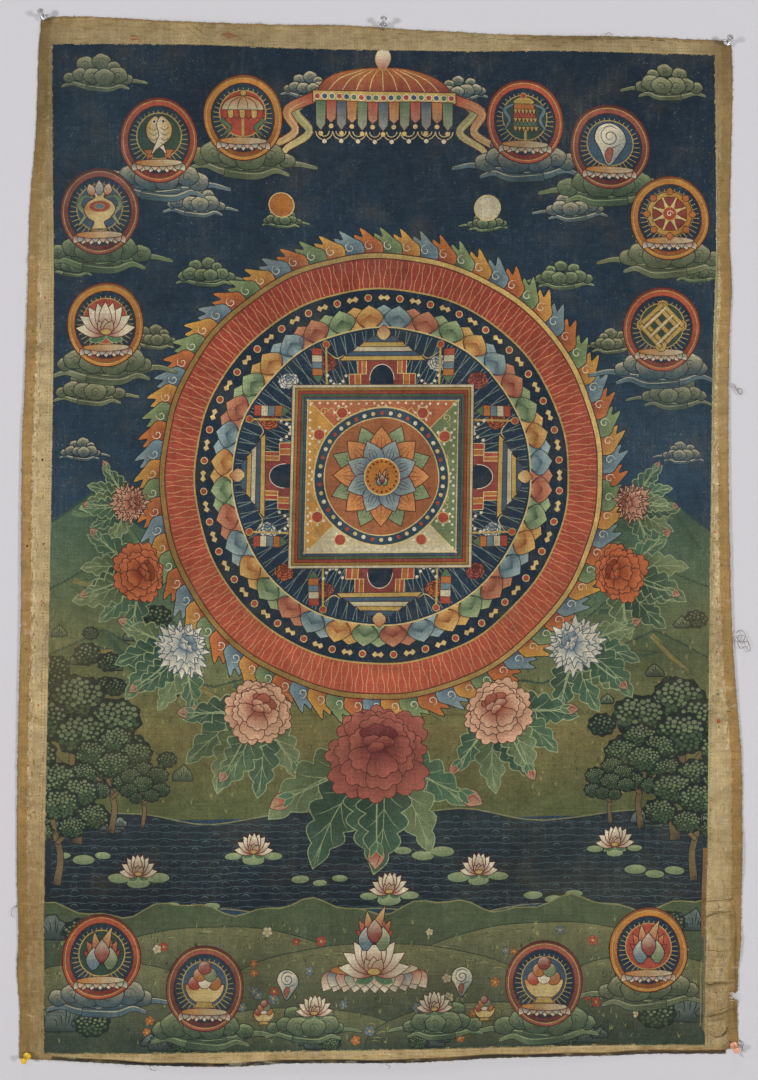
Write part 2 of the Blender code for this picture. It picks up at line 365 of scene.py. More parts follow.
def creaseAt(spots):
    # Height of the creases at each spot, and the shade painted along them
    height, dark = np.zeros(len(spots)), np.zeros(len(spots))
    for rise, halfWidth, paintedShade, line in creases:
        line = curve([complex(*p) for p in line], 5)
        away = np.full(len(spots), 1e9)
        along = np.zeros(len(spots))
        for k in range(len(line) - 1):
            step = line[k + 1] - line[k]
            t = np.clip(((spots - line[k]) * np.conj(step)).real / abs(step) ** 2, 0, 1)
            gap = np.abs(spots - line[k] - t * step)
            along = np.where(gap < away, (k + t) / (len(line) - 1), along)
            away = np.minimum(gap, away)
        uneven = 0.7 + 0.3 * np.sin(along * 17 + rise * 9)
        if abs(line[0].real) < clothSet["insideFrom"]:
            uneven = uneven * np.minimum(along * 6, 1)
        uneven = uneven * np.minimum((1 - along) * 3, 1)
        height += rise * uneven * np.exp(-((away / halfWidth) ** 2))
        dark += paintedShade * uneven * np.exp(-((away / (halfWidth * 0.55)) ** 2))
    return height, dark


# Drawing. A point is x + y * i, and an outline is an array of them


def curve(points, steps=6, closed=False):
    # Smooth line through the points
    p = np.array(points, complex)
    if closed:
        p = np.concatenate([p[-1:], p, p[:2]])
    else:
        p = np.concatenate([[2 * p[0] - p[1]], p, [2 * p[-1] - p[-2]]])
    a, b, c, d = p[:-3, None], p[1:-2, None], p[2:-1, None], p[3:, None]
    t = np.arange(steps) / steps
    line = 0.5 * (2 * b + (c - a) * t + (2 * a - 5 * b + 4 * c - d) * t**2 + (3 * b - a - 3 * c + d) * t**3)
    line = line.ravel()
    return line if closed else np.append(line, p[-2])


def disc(middle, radius, stretch=1.0, points=None):
    a = np.linspace(0, 2 * np.pi, points or int(np.clip(radius * 1.2, 12, 200)), endpoint=False)
    return middle + radius * (np.cos(a) + 1j * stretch * np.sin(a))


def both(upper):
    # Closes a form that is the same on both sides of the x axis
    return np.concatenate([upper, np.conj(upper[::-1])])


def leafShape(halfWidths, steps=3):
    x = np.linspace(0, 1, len(halfWidths))
    return both(curve(x + 1j * np.array(halfWidths), steps))


def grown(outline, width):
    # The outline moved outwards, for the line round a shape
    outline = outline[np.abs(outline - np.roll(outline, 1)) > 1e-6]
    way = np.roll(outline, -1) - outline
    way = way / np.abs(way)
    before = np.roll(way, 1)
    area = (outline.real * np.roll(outline.imag, -1) - outline.imag * np.roll(outline.real, -1)).sum()
    out = (way + before) * (-1j if area > 0 else 1j)
    size = np.abs(out)
    out = np.where(size > 0.5, out / np.maximum(size, 1e-6) ** 2 * 2, out / np.maximum(size, 1e-6))
    return outline + out * width


def ribbon(line, width, ends="both"):
    line = np.asarray(line, complex)
    way = np.gradient(line)
    side = 1j * way / np.maximum(np.abs(way), 1e-9)
    t = np.linspace(0, 1, len(line))
    swell = {
        "both": np.sin(np.pi * t) ** 0.5,
        "end": (1 - t) ** 0.6,
        "none": np.ones(len(t)),
    }[ends]
    side = side * (width / 2 * (0.2 + 0.8 * swell))
    return np.concatenate([line + side, (line - side)[::-1]])


def seat(spot, size=1.0, turn=0.0, flip=False):
    # Puts a motif drawn round 0 in its place
    swing = size * toward(turn)

    def put(shape):
        shape = np.asarray(shape, complex)
        return spot + swing * (-np.conj(shape) if flip else shape)

    return put


layers = []  # every painted shape in the order it was laid, the last on top
fieldWidth, fieldHeight = 726.0, 1095.0  # mm, as designed
halfField = fieldWidth / 2
oldSize = (0.88, 0.81, 0.75)  # what glue size, gone brown, and lamp soot leave of each colour
# Hexes that the pigments have now
pigments = {
    "sky": "#203446", "skyPale": "#284053", "skyDeep": "#1a2b3b", "vermilion": "#98483a",
    "crimson": "#7e3f3a", "rose": "#8f5a4c", "orange": "#a1683a", "amber": "#a8702c",
    "gold": "#ad9658", "goldPale": "#c4b27c", "malachite": "#4e6c53", "malachiteDeep": "#33493e",
    "malachitePale": "#6a7c5c", "sage": "#6f7a60", "sagePale": "#9a9c7c", "vein": "#8b9b75",
    "cream": "#b5b194", "white": "#cfcab2", "azurite": "#3d5466", "azuritePale": "#60767f",
    "ink": "#1f2628", "redInk": "#4c2823", "umber": "#4b3b2b", "water": "#28343a",
}


def ontoField(spots):
    # From the design, x from the middle and y down from the top, onto the cloth, drawn by hand
    spots = np.asarray(spots)
    x = np.clip(spots.real, -halfField, halfField)
    y = np.clip(spots.imag, -fieldHeight, 0)
    inset = np.minimum(halfField - np.abs(x), np.minimum(-y, fieldHeight + y))
    free = np.clip(inset / 12, 0, 1)
    swayX = 0.7 * np.sin(x / 31 + y / 47) + 0.5 * np.sin(y / 13 + x / 71)
    swayY = 0.7 * np.sin(y / 37 - x / 53) + 0.5 * np.sin(x / 14 + y / 67)
    x, y = x + swayX * free, y + swayY * free
    return onPatch(fieldEdges, x / fieldWidth + 0.5, -y / fieldHeight)


def tint(colour, spread, soot=(1, 1, 1)):
    share = 1 + vary(-spread, spread)
    return np.array([c * share * s for c, s in zip(toLinear(pigments.get(colour, colour)), soot)])


def lay(outline, colour, fade=None, line=None, lineWidth=0.8, bare=False, spread=0.06):
    # fade is (second colour, from, to), or (second colour, middle, radius) for a round one.
    # bare puts the shape straight on the cloth, in its own across and up.
    move = (lambda z: z) if bare else ontoField
    outline = np.asarray(outline, complex)
    soot = (1, 1, 1) if bare else oldSize
    if line:
        layers.append((move(grown(outline, lineWidth)), tint(line, spread, soot), None))
    if fade:
        second, start, end = fade
        start = np.atleast_1d(np.asarray(start, complex))
        if not isinstance(end, float):
            end = move(np.atleast_1d(np.asarray(end, complex)))[0]
        fade = (tint(second, spread, soot), move(start)[0], end)
    layers.append((move(outline), tint(colour, spread, soot), fade))


def brush(line, width, colour, ends="both", bare=False):
    lay(ribbon(line, width, ends), colour, bare=bare)


def at(spot, size=1.0, turn=0.0, flip=False):
    # A pen for a motif drawn round 0. A stroke is a brush line that many mm wide
    put = seat(spot, size, turn, flip)

    def pen(shape, colour, fade=None, line="redInk", width=0.75, stroke=None, ends="both"):
        if stroke:
            brush(put(shape), stroke, colour, ends)
            return
        if fade:
            second, start, end = fade
            fade = (second, put(start), end * size if isinstance(end, float) else put(end))
        lay(put(shape), colour, fade, line, width)

    return pen


def pick(things, k):
    return things[k % len(things)]


def curl(turns=1.5, steps=18, sense=1):
    # A scroll line that winds in to its middle
    a = np.linspace(0, 2 * np.pi * turns, steps)
    return (1 - 0.86 * a / a[-1]) * np.exp(1j * sense * a)


def dome(wide, tall, foot=0.0, points=20):
    a = np.linspace(0, np.pi, points)
    return wide * np.cos(a) + 1j * (foot + tall * np.sin(a))


def petal(reach, width, degrees=90.0, foot=0j):
    shape = leafShape([0.3, 0.85, 1.0, 0.66, 0.0])
    return foot + (shape.real * reach + 1j * shape.imag * width) * toward(degrees)


def box(left, right, low, high, flare=0.0):
    return np.array([left + 1j * low, right + 1j * low, right + flare + 1j * high,
        left - flare + 1j * high])


cloudTones = [("#4c5944", "sage", "sagePale"), ("#3d525a", "azuritePale", "cream"),
    ("#3f5242", "malachitePale", "vein")]


def cloud(spot, size, flip=False, tone=0):
    # A flat bank of scrolled puffs with pale tops, and streaks of mist that trail away
    pen = at(spot, size, 0, flip)
    low, body, high = pick(cloudTones, tone)
    for k, (reach, y) in enumerate(((2.0, -0.4), (-1.5, -0.52), (1.25, -0.62))):
        line = curve([-0.4 * reach + 1j * y, 0.3 * reach + 1j * (y - 0.08), 0.7 * reach + 1j * (y + 0.07),
            reach + 1j * (y - 0.05)], 5)
        pen(ribbon(line, 0.24, "end"), low, (body, 0j, reach + 0j), "ink", 0.7)
        pen(line + 0.05j, high, stroke=0.9)
    rows = [(-0.5, 0.3, 0.3), (0.12, 0.42, 0.34), (0.6, 0.22, 0.27), (-1.12, -0.22, 0.24),
        (1.1, -0.26, 0.25), (-0.76, -0.1, 0.33), (0.72, -0.12, 0.34), (-0.28, -0.16, 0.38),
        (0.24, -0.2, 0.37)]
    for x, y, r in rows:
        x, r = x + vary(-0.07, 0.07), r * vary(0.85, 1.15)
        a = np.linspace(0, 2 * np.pi, 32, endpoint=False)
        puff = (1 + 0.1 * np.abs(np.sin(2.5 * a + x * 3))) * (np.cos(a) + 0.8j * np.sin(a))
        pen(complex(x, y) + r * puff, low, (high, complex(x, y - r * 0.5), complex(x, y + r * 1.2)),
            "ink", 0.9)
        pen(complex(x, y) + 0.84 * r * puff[2:15], high, stroke=1.0)
        sense = 1 if x > 0 else -1
        pen(complex(x, y - r * 0.1) + r * 0.5 * curl(1.3, 15, sense) * (1j ** (1 - sense)), "#39463c",
            stroke=1.0)


def leaf(spot, length, turn, bend=0.25, width=0.3, lobes=6, tone=0):
    # A broad cut leaf, dark in its middle, with a pale edge and pale veins
    pen = at(spot, length, turn)
    t = np.linspace(0, 1, lobes * 5 + 1)
    middle = t + 1j * bend * t**2
    way = np.gradient(middle)
    side = 1j * way / np.abs(way)
    half = width * np.sin(np.pi * t**0.72) ** 0.75 * (0.62 + 0.38 * np.abs(np.sin(np.pi * lobes * t)))
    tones = [("#2c4339", "malachite"), ("#25382f", "#44604d"), ("#36482f", "malachitePale")]
    dark, light = pick(tones, tone)
    pen(np.concatenate([middle + side * half, (middle - side * half)[::-1]]), dark,
        (light, 0.15 - width * 0.6j, 0.8 + (bend + width) * 0.9j), "vein", 1.0)
    pen(middle[::3], "vein", stroke=1.4, ends="end")
    for k in range(4, lobes * 5 - 5, 5):
        for sign in (1, -1):
            tip = middle[k + 5] + sign * side[k + 5] * half[k + 5] * 0.85
            pen(curve([middle[k], middle[k] * 0.45 + tip * 0.55 + way[k] * 0.6, tip], 3), "vein",
                stroke=0.8, ends="end")


def peony(spot, radius, dyes, turn=0.0, flat=0.82, pointed=False):
    # Rings of cut petals, darker towards the heart, with a cupped middle
    dark, middle, light, edge = dyes
    pen = at(spot, radius, turn)

    def cut(angle, spread, reach, lobes):
        s = np.linspace(-1, 1, 21)
        wave = np.abs(np.cos(lobes * np.pi * s / 2))
        rim = 0.74 + 0.26 * (1 - np.sqrt(1 - wave**2)) if pointed else 0.84 + 0.16 * wave**0.5
        fan = reach * rim * (1 - 0.22 * np.abs(s) ** 2.5) * np.exp(1j * np.radians(angle + s * spread))
        base = 0.1 * reach * np.exp(1j * np.radians([angle + 70, angle - 70]))
        shape = np.concatenate([fan, base])
        return shape.real + 1j * flat * shape.imag

    for count, reach, start in ((8, 1.0, 0), (7, 0.8, 22), (6, 0.6, 44)):
        heart = (1 - reach) * 0.3j
        for angle in sorted((start + 360 * k / count for k in range(count)),
                key=lambda a: -math.sin(math.radians(a))):
            angle += vary(-6, 6)
            length, spread = reach * vary(0.88, 1.08), 226 / count
            vein = np.exp(1j * np.radians(angle + np.array([0, -0.5, -0.2, 0.2, 0.5]) * spread))
            vein = vein.real + 1j * vein.imag * flat
            pen(heart + cut(angle, spread, length, 3), dark, (light, heart + vein[0] * length * 0.2,
                heart + vein[0] * length * 0.95), edge, 0.9)
            for way in vein[1:]:
                pen(heart + way * np.linspace(length * 0.4, length * 0.78, 3), middle, stroke=0.8)
    for k, (x, y, r) in enumerate([(-0.17, 0.24, 0.24), (0.18, 0.24, 0.24), (0, 0.3, 0.24),
            (-0.11, 0.1, 0.24), (0.13, 0.09, 0.23), (0, 0.02, 0.2)]):
        pen(complex(x, y) + cut(90 + 20 * (k % 3 - 1), 78, r, 3), dark, (middle if k < 3 else light,
            complex(x, y), complex(x, y + r)), edge, 0.8)


def bud(spot, size, turn, colour):
    pen = at(spot, size, turn)
    pen(petal(1, 0.34, 0), colour, ("cream", 0.3, 1.1), width=0.8)
    pen(curve([0.1 + 0.05j, 0.5 + 0.13j, 0.92], 3), "redInk", stroke=0.8)
    for sign in (1, -1):
        pen(petal(0.65, 0.13, 23 * sign, -0.12), "malachite", None, "vein")


def lotusSeat(pen, colours, petals=7, width=1.0, depth=0.32):
    # Two rows of petals hanging under a flat seat
    for row in (0, 1):
        for k in sorted(range(petals - row), key=lambda k: -abs(k - (petals - row - 1) / 2)):
            x = ((k + row / 2) / (petals - 1) - 0.5) * 1.8 * width
            pen(petal(depth * (1.1 - 0.25 * row), depth * 0.4, -90 + x / width * 36, x),
                pick(colours, k + row), ("white", x, complex(x * 1.15, -depth)), width=0.8)
    pen(disc(0.04j, width * 0.97, 0.14, 26), "amber", ("cream", -1 + 0j, 1 + 0j))


# The eight lucky signs and their fellows, each drawn inside a circle of radius 1


def parasol(pen):
    pen([-0.95j, 0.2j, 0.5j], "gold", stroke=2.8, ends="none")
    for s in (1, -1):
        pen(ribbon(curve([s * 0.55 + 0.1j, s * 0.85 - 0.3j, s * 0.55 - 0.6j, s * 0.85 - 0.92j], 4), 0.16),
            "malachite")
    pen(dome(0.88, 0.62, 0.14), "cream", ("orange", 0.1j, 0.8j), width=1)
    for x in (-0.5, -0.18, 0.18, 0.5):
        pen(curve([x * 1.3 + 0.14j, x * 0.95 + 0.5j, 0.76j], 3), "redInk", stroke=0.9)
    for k in range(7):
        pen(-0.88 + 0.25 * k + np.array([0.14j, 0.25 + 0.14j, 0.22 - 0.14j, 0.12 - 0.22j, 0.02 - 0.14j]),
            pick(("vermilion", "gold"), k))
    pen(disc(0.88j, 0.12), "gold")


def twinFish(pen):
    for flip in (1, -1):
        side = (lambda z: np.asarray(z)) if flip > 0 else (lambda z: -np.conj(z))
        pen(side(np.array([0.2 - 0.6j, 0.66 - 0.62j, 0.5 - 0.78j, 0.52 - 1j, 0.28 - 0.9j])), "orange")
        pen(side(curve([-0.15 + 0.84j, -0.54 + 0.45j, -0.46 - 0.1j, 0.1 - 0.55j, 0.3 - 0.76j, 0.16 - 0.35j,
            0.05j, 0.08 + 0.5j], 4, True)), "gold", ("white", side(-0.5 + 0.2j), side(0.1 + 0.1j)), width=1)
        for y in (0.38, 0.16, -0.06, -0.28):
            pen(side(curve([-0.46 + 1j * y, -0.24 + 1j * (y - 0.14), -0.04 + 1j * y], 3)), "umber",
                stroke=0.8)
        pen(side(disc(-0.2 + 0.62j, 0.06, 1, 8)), "ink", None, "white")


def treasureVase(pen):
    for s in (1, -1):
        pen(ribbon(curve([s * 0.2 + 0.4j, s * 0.7 + 0.45j, s * 0.88 + 0.05j, s * 0.6 - 0.3j,
            s * 0.88 - 0.75j], 4), 0.17), "malachite", ("vein", 0.5j, -0.6j))
    pen(both(curve([-0.9 + 0.32j, -0.62 + 0.2j, -0.45 + 0.46j, -0.1 + 0.66j, 0.2 + 0.52j, 0.38 + 0.2j,
        0.52 + 0.2j, 0.62 + 0.44j], 4)) * 1j, "amber", ("goldPale", -0.6, 0.5), width=1)
    pen(disc(0.04j, 0.46, 0.5), "vermilion", None, "gold", 1)
    pen(disc(0.04j, 0.2, 0.5), "azuritePale", None, "gold")
    for x in (-0.3, 0.3, 0):
        pen(petal(0.5 if x else 0.62, 0.17, 90 - x * 50, x + 0.52j), "orange" if x else "azuritePale",
            ("white", x + 0.5j, x + 1.1j))


def lotusBloom(pen):
    for s in (1, -1):
        pen(petal(0.8, 0.24, -90 + s * 62, -0.5j), "malachite", None, "vein")
    for angle in (172, 8, 148, 32, 124, 56, 105, 75, 90):
        way = toward(angle)
        pen(petal(1.32, 0.27, angle, -0.5j), "rose", ("white", -0.5j + way * 0.2, -0.5j + way), width=0.9)
    for k in (-1, 0, 1):
        pen(petal(0.62, 0.2, 90 - 30 * k, -0.55j), "rose", ("cream", -0.5j, 0.1j), width=0.9)
    pen(disc(-0.46j, 0.24, 0.5), "gold")


def conchShell(pen):
    pen(curve([-0.05 - 0.98j, 0.35 - 0.5j, 0.66 + 0.05j, 0.54 + 0.55j, 0.08 + 0.86j, -0.44 + 0.7j,
        -0.64 + 0.2j, -0.42 - 0.25j], 5, True), "white", ("azuritePale", -0.1 + 0.3j, 0.7 - 0.5j), "ink", 1)
    pen(0.28j + 0.44 * curl(1.7, 22) * 1j, "azurite", stroke=1.2)
    for stops in ([0.02 - 0.85j, -0.1 - 0.4j, 0.18 - 0.15j, 0.5], [-0.35 + 0.62j, 0.76j, 0.36 + 0.62j]):
        pen(curve(stops, 4), "azurite", stroke=1.1)
    pen(curve([-0.04 - 0.85j, -0.2 - 0.5j, -0.05 - 0.2j, 0.12 - 0.35j], 4, True), "rose")


def endlessKnot(pen):
    turned = cmath.exp(0.25j * math.pi)
    lines = []
    for k in (-0.46, 0, 0.46):
        lines += [np.array([-0.68 + 1j * k, 0.68 + 1j * k]) * turned,
            np.array([k - 0.68j, k + 0.68j]) * turned]
    for k in range(4):
        lines.append((0.86 + 0.17 * np.exp(1j * np.linspace(-2.4, 2.4, 9))) * 1j**k)
        lines.append(np.array([-0.67 - 0.67j, 0.67 - 0.67j]) * turned * 1j**k)
    for line in lines:
        pen(ribbon(line, 0.17, "none"), "gold")
    for line in lines[:6:2]:
        pen(line, "white", stroke=1.3, ends="none")


def victoryBanner(pen):
    pen([-1j, -0.5j], "gold", stroke=2.8, ends="none")
    for k, y in enumerate((-0.5, -0.12, 0.26)):
        wide = 0.54 - 0.03 * k
        pen(box(-wide, wide, y, y + 0.38, -0.06), pick(("malachite", "vermilion", "orange"), k), width=0.9)
        for j in range(6):
            x = -wide + (j + 0.1) * wide * 0.34
            pen([x + 1j * (y + 0.1), x + wide * 0.32 + 1j * (y + 0.1), x + wide * 0.16 + 1j * (y - 0.1)],
                "gold")
    pen(dome(0.46, 0.28, 0.62), "gold")
    pen(disc(0.97j, 0.11), "vermilion", None, "gold")
    for s in (1, -1):
        pen(ribbon(curve([s * 0.42 + 0.6j, s * 0.88 + 0.35j, s * 0.68 - 0.1j, s * 0.92 - 0.55j], 4), 0.15),
            "azuritePale", None, "ink")


def spokedWheel(pen):
    pen(disc(0, 0.95, 1, 44), "gold", ("amber", -1, 1), width=1)
    pen(disc(0, 0.72, 1, 36), "crimson")
    for k in range(8):
        way = cmath.exp(2j * math.pi * (k + 0.5) / 8)
        pen(way * (0.1 + leafShape([0.06, 0.13, 0.06, 0.06], 2) * 0.66), "goldPale")
        pen(petal(0.3, 0.14, 45 * k, 0.84 * way * cmath.exp(-1j * math.pi / 8)), "orange")
    pen(disc(0, 0.28, 1, 16), "vermilion", None, "gold", 1)
    pen(0.16 * curl(1.2, 10), "white", stroke=1)


def wishingJewel(pen):
    for angle, reach in ((158, 0.9), (22, 0.9), (138, 1.1), (42, 1.1), (118, 1.3), (62, 1.3), (90, 1.5)):
        flame = petal(reach, 0.2, 0)
        flame = flame + 0.2j * flame.real**2 * (1 if angle < 90 else -1)
        pen(-0.4j + flame * toward(angle), "vermilion", ("goldPale", 0.1j, 1.1j), width=0.9)
    for x, y, c in ((-0.36, -0.34, "azuritePale"), (0.36, -0.34, "malachitePale"), (0, -0.02, "crimson")):
        pen(petal(0.95, 0.3, 90, complex(x, y - 0.36)), c, ("white", x + 1j * (y - 0.1),
            x - 0.1 + 1j * (y + 0.9)), "ink", 0.9)


def offeringBowl(pen):
    pen(np.conj(dome(0.84, 0.8, 0.02)), "amber", ("goldPale", -0.7, 0.6), width=1)
    pen(box(-0.42, 0.42, -0.98, -0.76, -0.12), "gold")
    for x, y, c in ((-0.44, 0.05, "vermilion"), (0.44, 0.05, "orange"), (0, 0.1, "white"),
            (-0.22, 0.4, "orange"), (0.24, 0.4, "malachitePale"), (0, 0.7, "crimson")):
        pen(disc(x + 1j * y, 0.28, 1, 14), c, ("white", x + 1j * y, x - 0.3 + 1j * (y + 0.5)))


medallionRadius = 42.0


def medallion(spot, sign, ring, heart, flip=False):
    # A ringed disc with fine gold rays, a lotus seat and one sign, carried on a bank of cloud
    radius = medallionRadius
    cloud(spot - 0.82j * radius, radius * 0.95, flip, ring)
    dark, light = pick([("#84512f", "#b5803f"), ("#74372f", "#a9573f"), ("#5a3233", "#8f5548")], ring)
    pen = at(spot, radius)
    pen(disc(0, 1.0, 1.08, 50), light, (dark, -0.7j, 1.1j), "redInk", 1.3)
    pen(disc(0, 0.93, 1.08, 46), dark, (light, -0.9j, 0.9j), "gold", 0.9)
    pen(disc(0, 0.8, 1.08, 40), heart, ("sky", 0j, 0.9), "redInk", 1.1)
    for k in range(36):
        pen(cmath.exp(2j * math.pi * k / 36) * np.array([0.45, 0.76]), "gold", stroke=0.7, ends="none")
    pen(disc(0.1j, 0.58, 1, 36), ("vermilion", "malachiteDeep", "azurite")[ring], None, "gold", 1.1)
    dyes = pick([("crimson", "azurite"), ("malachite", "orange")], ring)
    lotusSeat(at(spot - 0.62j * radius, radius * 0.62), dyes)
    sign(at(spot + 0.1j * radius, radius * 0.6))


print("motifs ready")

# The design: a lotus mandala above a lake, under a canopy, with the eight lucky signs


designSet = {
    "bandPoints": 60,  # across the field
    "bandStep": 12.1667,  # mm down its sides
    "skySpecks": 1500,
    "slopeTufts": 420,
    "groveClumps": 34,
    "waves": 13,
    "shoreRocks": 24,
    "meadowTufts": 340,
    "meadowFlowers": 60,
    "edgeChips": 1900,
}


def band(high, low):
    # A block over the whole width, with points close enough to follow the field's edges
    across = np.linspace(-halfField, halfField, designSet["bandPoints"])
    down = np.linspace(high, low, round((high - low) / designSet["bandStep"]) + 1)
    return np.concatenate(
        [across + 1j * high, halfField + 1j * down, across[::-1] + 1j * low, -halfField + 1j * down[::-1]])


# The tops of the hills from left to right, evenly spread, with two colours
ridges = [
    ([-520, -486, -523, -548, -512, -560, -590, -594, -590, -592, -566, -514, -549, -512, -490, -528],
     "#405a4c", "#5c7254"),
    ([-592, -562, -606, -640, -604, -652, -660, -662, -660, -655, -618, -646, -596, -570, -590],
     "#48624c", "#77784f"),
    ([-664, -636, -676, -700, -682, -700, -706, -704, -688, -698, -668, -638, -668], "#4a5f46", "#7d7447"),
]


def skyAndHills():
    lay(band(0, -fieldHeight), "skyDeep", ("skyPale", -60j, -560j))
    for k in range(designSet["skySpecks"]):  # the ground shows as pale specks through the blue
        spot = complex(vary(-360, 360), -vary(4, 560))
        lay(disc(spot, vary(0.3, 0.7), 1, 4), choose(("azurite", "azuritePale", "skyPale", "#4a5d66")))
    for tops, high, low in ridges:
        x = np.linspace(-halfField, halfField, len(tops) * 8)
        top = x + 1j * np.interp(x, np.linspace(-halfField, halfField, len(tops)), tops)
        for k in range(len(x) * 4 - 4):  # the rough line of small trees along the ridge
            spot = top[k // 4] + (top[k // 4 + 1] - top[k // 4]) * (k % 4) / 4
            lay([spot - 1.8 - 0.8j, spot + 1.8 - 0.8j, spot + 1j * vary(1.8, 4.6)], "#33493f")
        below = band(top.imag.min() - 20, top.imag.min() - 160)
        lay(np.concatenate([top, below[below.real == halfField], below[below.real == -halfField]]), high,
            (low, 1j * top.imag.max(), 1j * top.imag.min() - 90j))
        for k in range(4, len(x) - 8, 5):  # paths of paler and darker paint down the slopes
            fall = (top[k + 4] - top[k]) * 1.5 - 26j
            shape = ribbon(curve([top[k] - 3j, top[k] + fall * 0.5 - 6j, top[k] + fall], 4), 6, "end")
            lay(shape, pick((low, "#3d5544"), k))
            brush(curve([top[k] - 4j, top[k] + fall * 0.6, top[k] + fall * 1.3], 4), 0.9, "#35493a")
    lay(band(-742, -842), "#6f6a44", ("#56603f", -745j, -830j))
    for k in range(designSet["slopeTufts"]):
        spot = complex(choose((-1, 1)) * vary(60, 358), vary(-836, -640))
        for lean in (-1.8, 0, 1.8):
            lay([spot - 0.6, spot + 0.6, spot + lean + 1j * vary(3, 7)], pick(("#44563d", "#87865a"), k))


def crag(spot, size, dark="#2b3940", light="#5f7274"):
    # A faceted rock, pale along its upper edges
    top = [-1, -0.8 + 0.5j, -0.35 + 0.9j, 0.05 + 1.1j, 0.4 + 0.7j, 0.8 + 0.45j, 1]
    top = [t + complex(vary(-0.12, 0.12), vary(-0.12, 0.16)) for t in top]
    pen = at(spot, size)
    pen([*top, 0.9 - 0.25j, -0.9 - 0.25j], dark, (light, -0.3j, 1.2j), "ink", 1.1)
    for k in range(1, 6):
        pen(curve([top[k], top[k] * 0.6 + 0.05, top[k] * 0.45 - 0.3j], 3), "ink", stroke=1.1)
        pen(np.array([top[k] * 0.9, top[k] * 0.6 + 0.14, top[k] * 0.5 - 0.05j + 0.12]), light, stroke=1.2)


def foliage(spot, size, dabs=64):
    # A rounded clump: a dark mass under small leaves that turn paler towards the light
    a = np.linspace(0, 2 * np.pi, 30, endpoint=False)
    pen = at(spot, size)
    pen((1.06 + 0.08 * np.cos(9 * a + size)) * (np.cos(a) + 0.8j * np.sin(a)), "#222e2a", None, "ink", 0.9)
    for k in range(dabs):
        place = math.sqrt((k + 0.5) / dabs) * cmath.exp(2.39996j * k)
        place = complex(place.real * 0.96, place.imag * 0.74)
        high = place.imag + vary(-0.3, 0.3)
        colour = "sage" if high > 0.36 else "malachitePale" if high > -0.1 else "#42583f"
        pen(disc(place, vary(0.07, 0.12), 0.8, 8), colour, None, "#2a3a30", 0.8)


def tree(spot, height, flip=False):
    pen = at(spot, height, 0, flip)
    limbs = [
        ([0, 0.03 + 0.3j, -0.04 + 0.62j, 0.03 + 0.95j], 0.07), ([0.4j, 0.16 + 0.56j, 0.26 + 0.74j], 0.04),
        ([-0.02 + 0.5j, -0.16 + 0.62j, -0.24 + 0.76j], 0.04)]
    for stops, width in limbs:
        pen(ribbon(curve(stops, 4), width, "end"), "#2b2f2c", ("#6d6046", -0.03, 0.09), "ink")
    for x, y, r in ((0.0, 1.04, 0.19), (-0.22, 0.92, 0.17), (0.24, 0.9, 0.18), (0.0, 0.8, 0.18),
            (-0.3, 0.68, 0.15), (0.32, 0.64, 0.15), (0.12, 0.56, 0.13), (-0.12, 0.5, 0.11)):
        x, y = x + vary(-0.04, 0.04), y + vary(-0.03, 0.03)
        foliage(spot + height * complex(-x if flip else x, y), height * r, int(26 + 150 * r))


def lake():
    x = np.linspace(-halfField, halfField, 9)
    far = x - 1j * np.array([846, 836, 848, 835, 844, 834, 847, 837, 846])
    near = x[::-1] - 1j * np.array([944, 954, 938, 950, 940, 951, 938, 952, 944])
    lay(curve([*far, *near], 5, True), "water", ("#1c2731", -840j, -945j), "#7c7f60", 1.4)
    for row in range(designSet["waves"]):
        x = np.arange(-356, 357, 4.4)
        y = -849 - row * 7.6
        brush(x + 1j * (y + 1.7 * np.abs(np.sin(np.pi * (x / 22 + 0.5 * (row % 2))))), 0.9, "#40545c",
            "none")
        for k in range(-16 + row % 2, 16):
            spot = complex(k * 22 + 11 * (row % 2), y + 3.1)
            if rnd.random() < 0.7:
                brush(spot + 4.4 * np.exp(1j * np.linspace(0.4, 2.7, 6)), 0.9,
                    choose(("#52676c", "#3b4f58")))
    for k in range(11):  # lotus leaves on the water, some with a flower
        x, y = -310 + 62 * k + vary(-16, 16), -880 - 26 * (k % 3) + vary(-6, 6)
        for j in range(3):
            pen = at(complex(x + 22 * (j - 1), y - 5 * (j % 2)), vary(8, 13))
            pen(disc(0, 1, 0.42, 20), "malachite", ("vein", -1j, 0.5j), "ink", 0.8)
            for way in (-0.8, -0.3, 0.3, 0.8):
                pen([0, way + 0.3j * (-1) ** j], "vein", stroke=0.7)
        if k % 2:
            lotusBloom(at(complex(x, y + 12), 16))
    for k in range(designSet["shoreRocks"]):
        side = choose((-1, 1))
        crag(complex(side * (358 - k * 3.4), -846 - vary(0, 8)), vary(5, 12), "#3a4a4d", "#87958c")


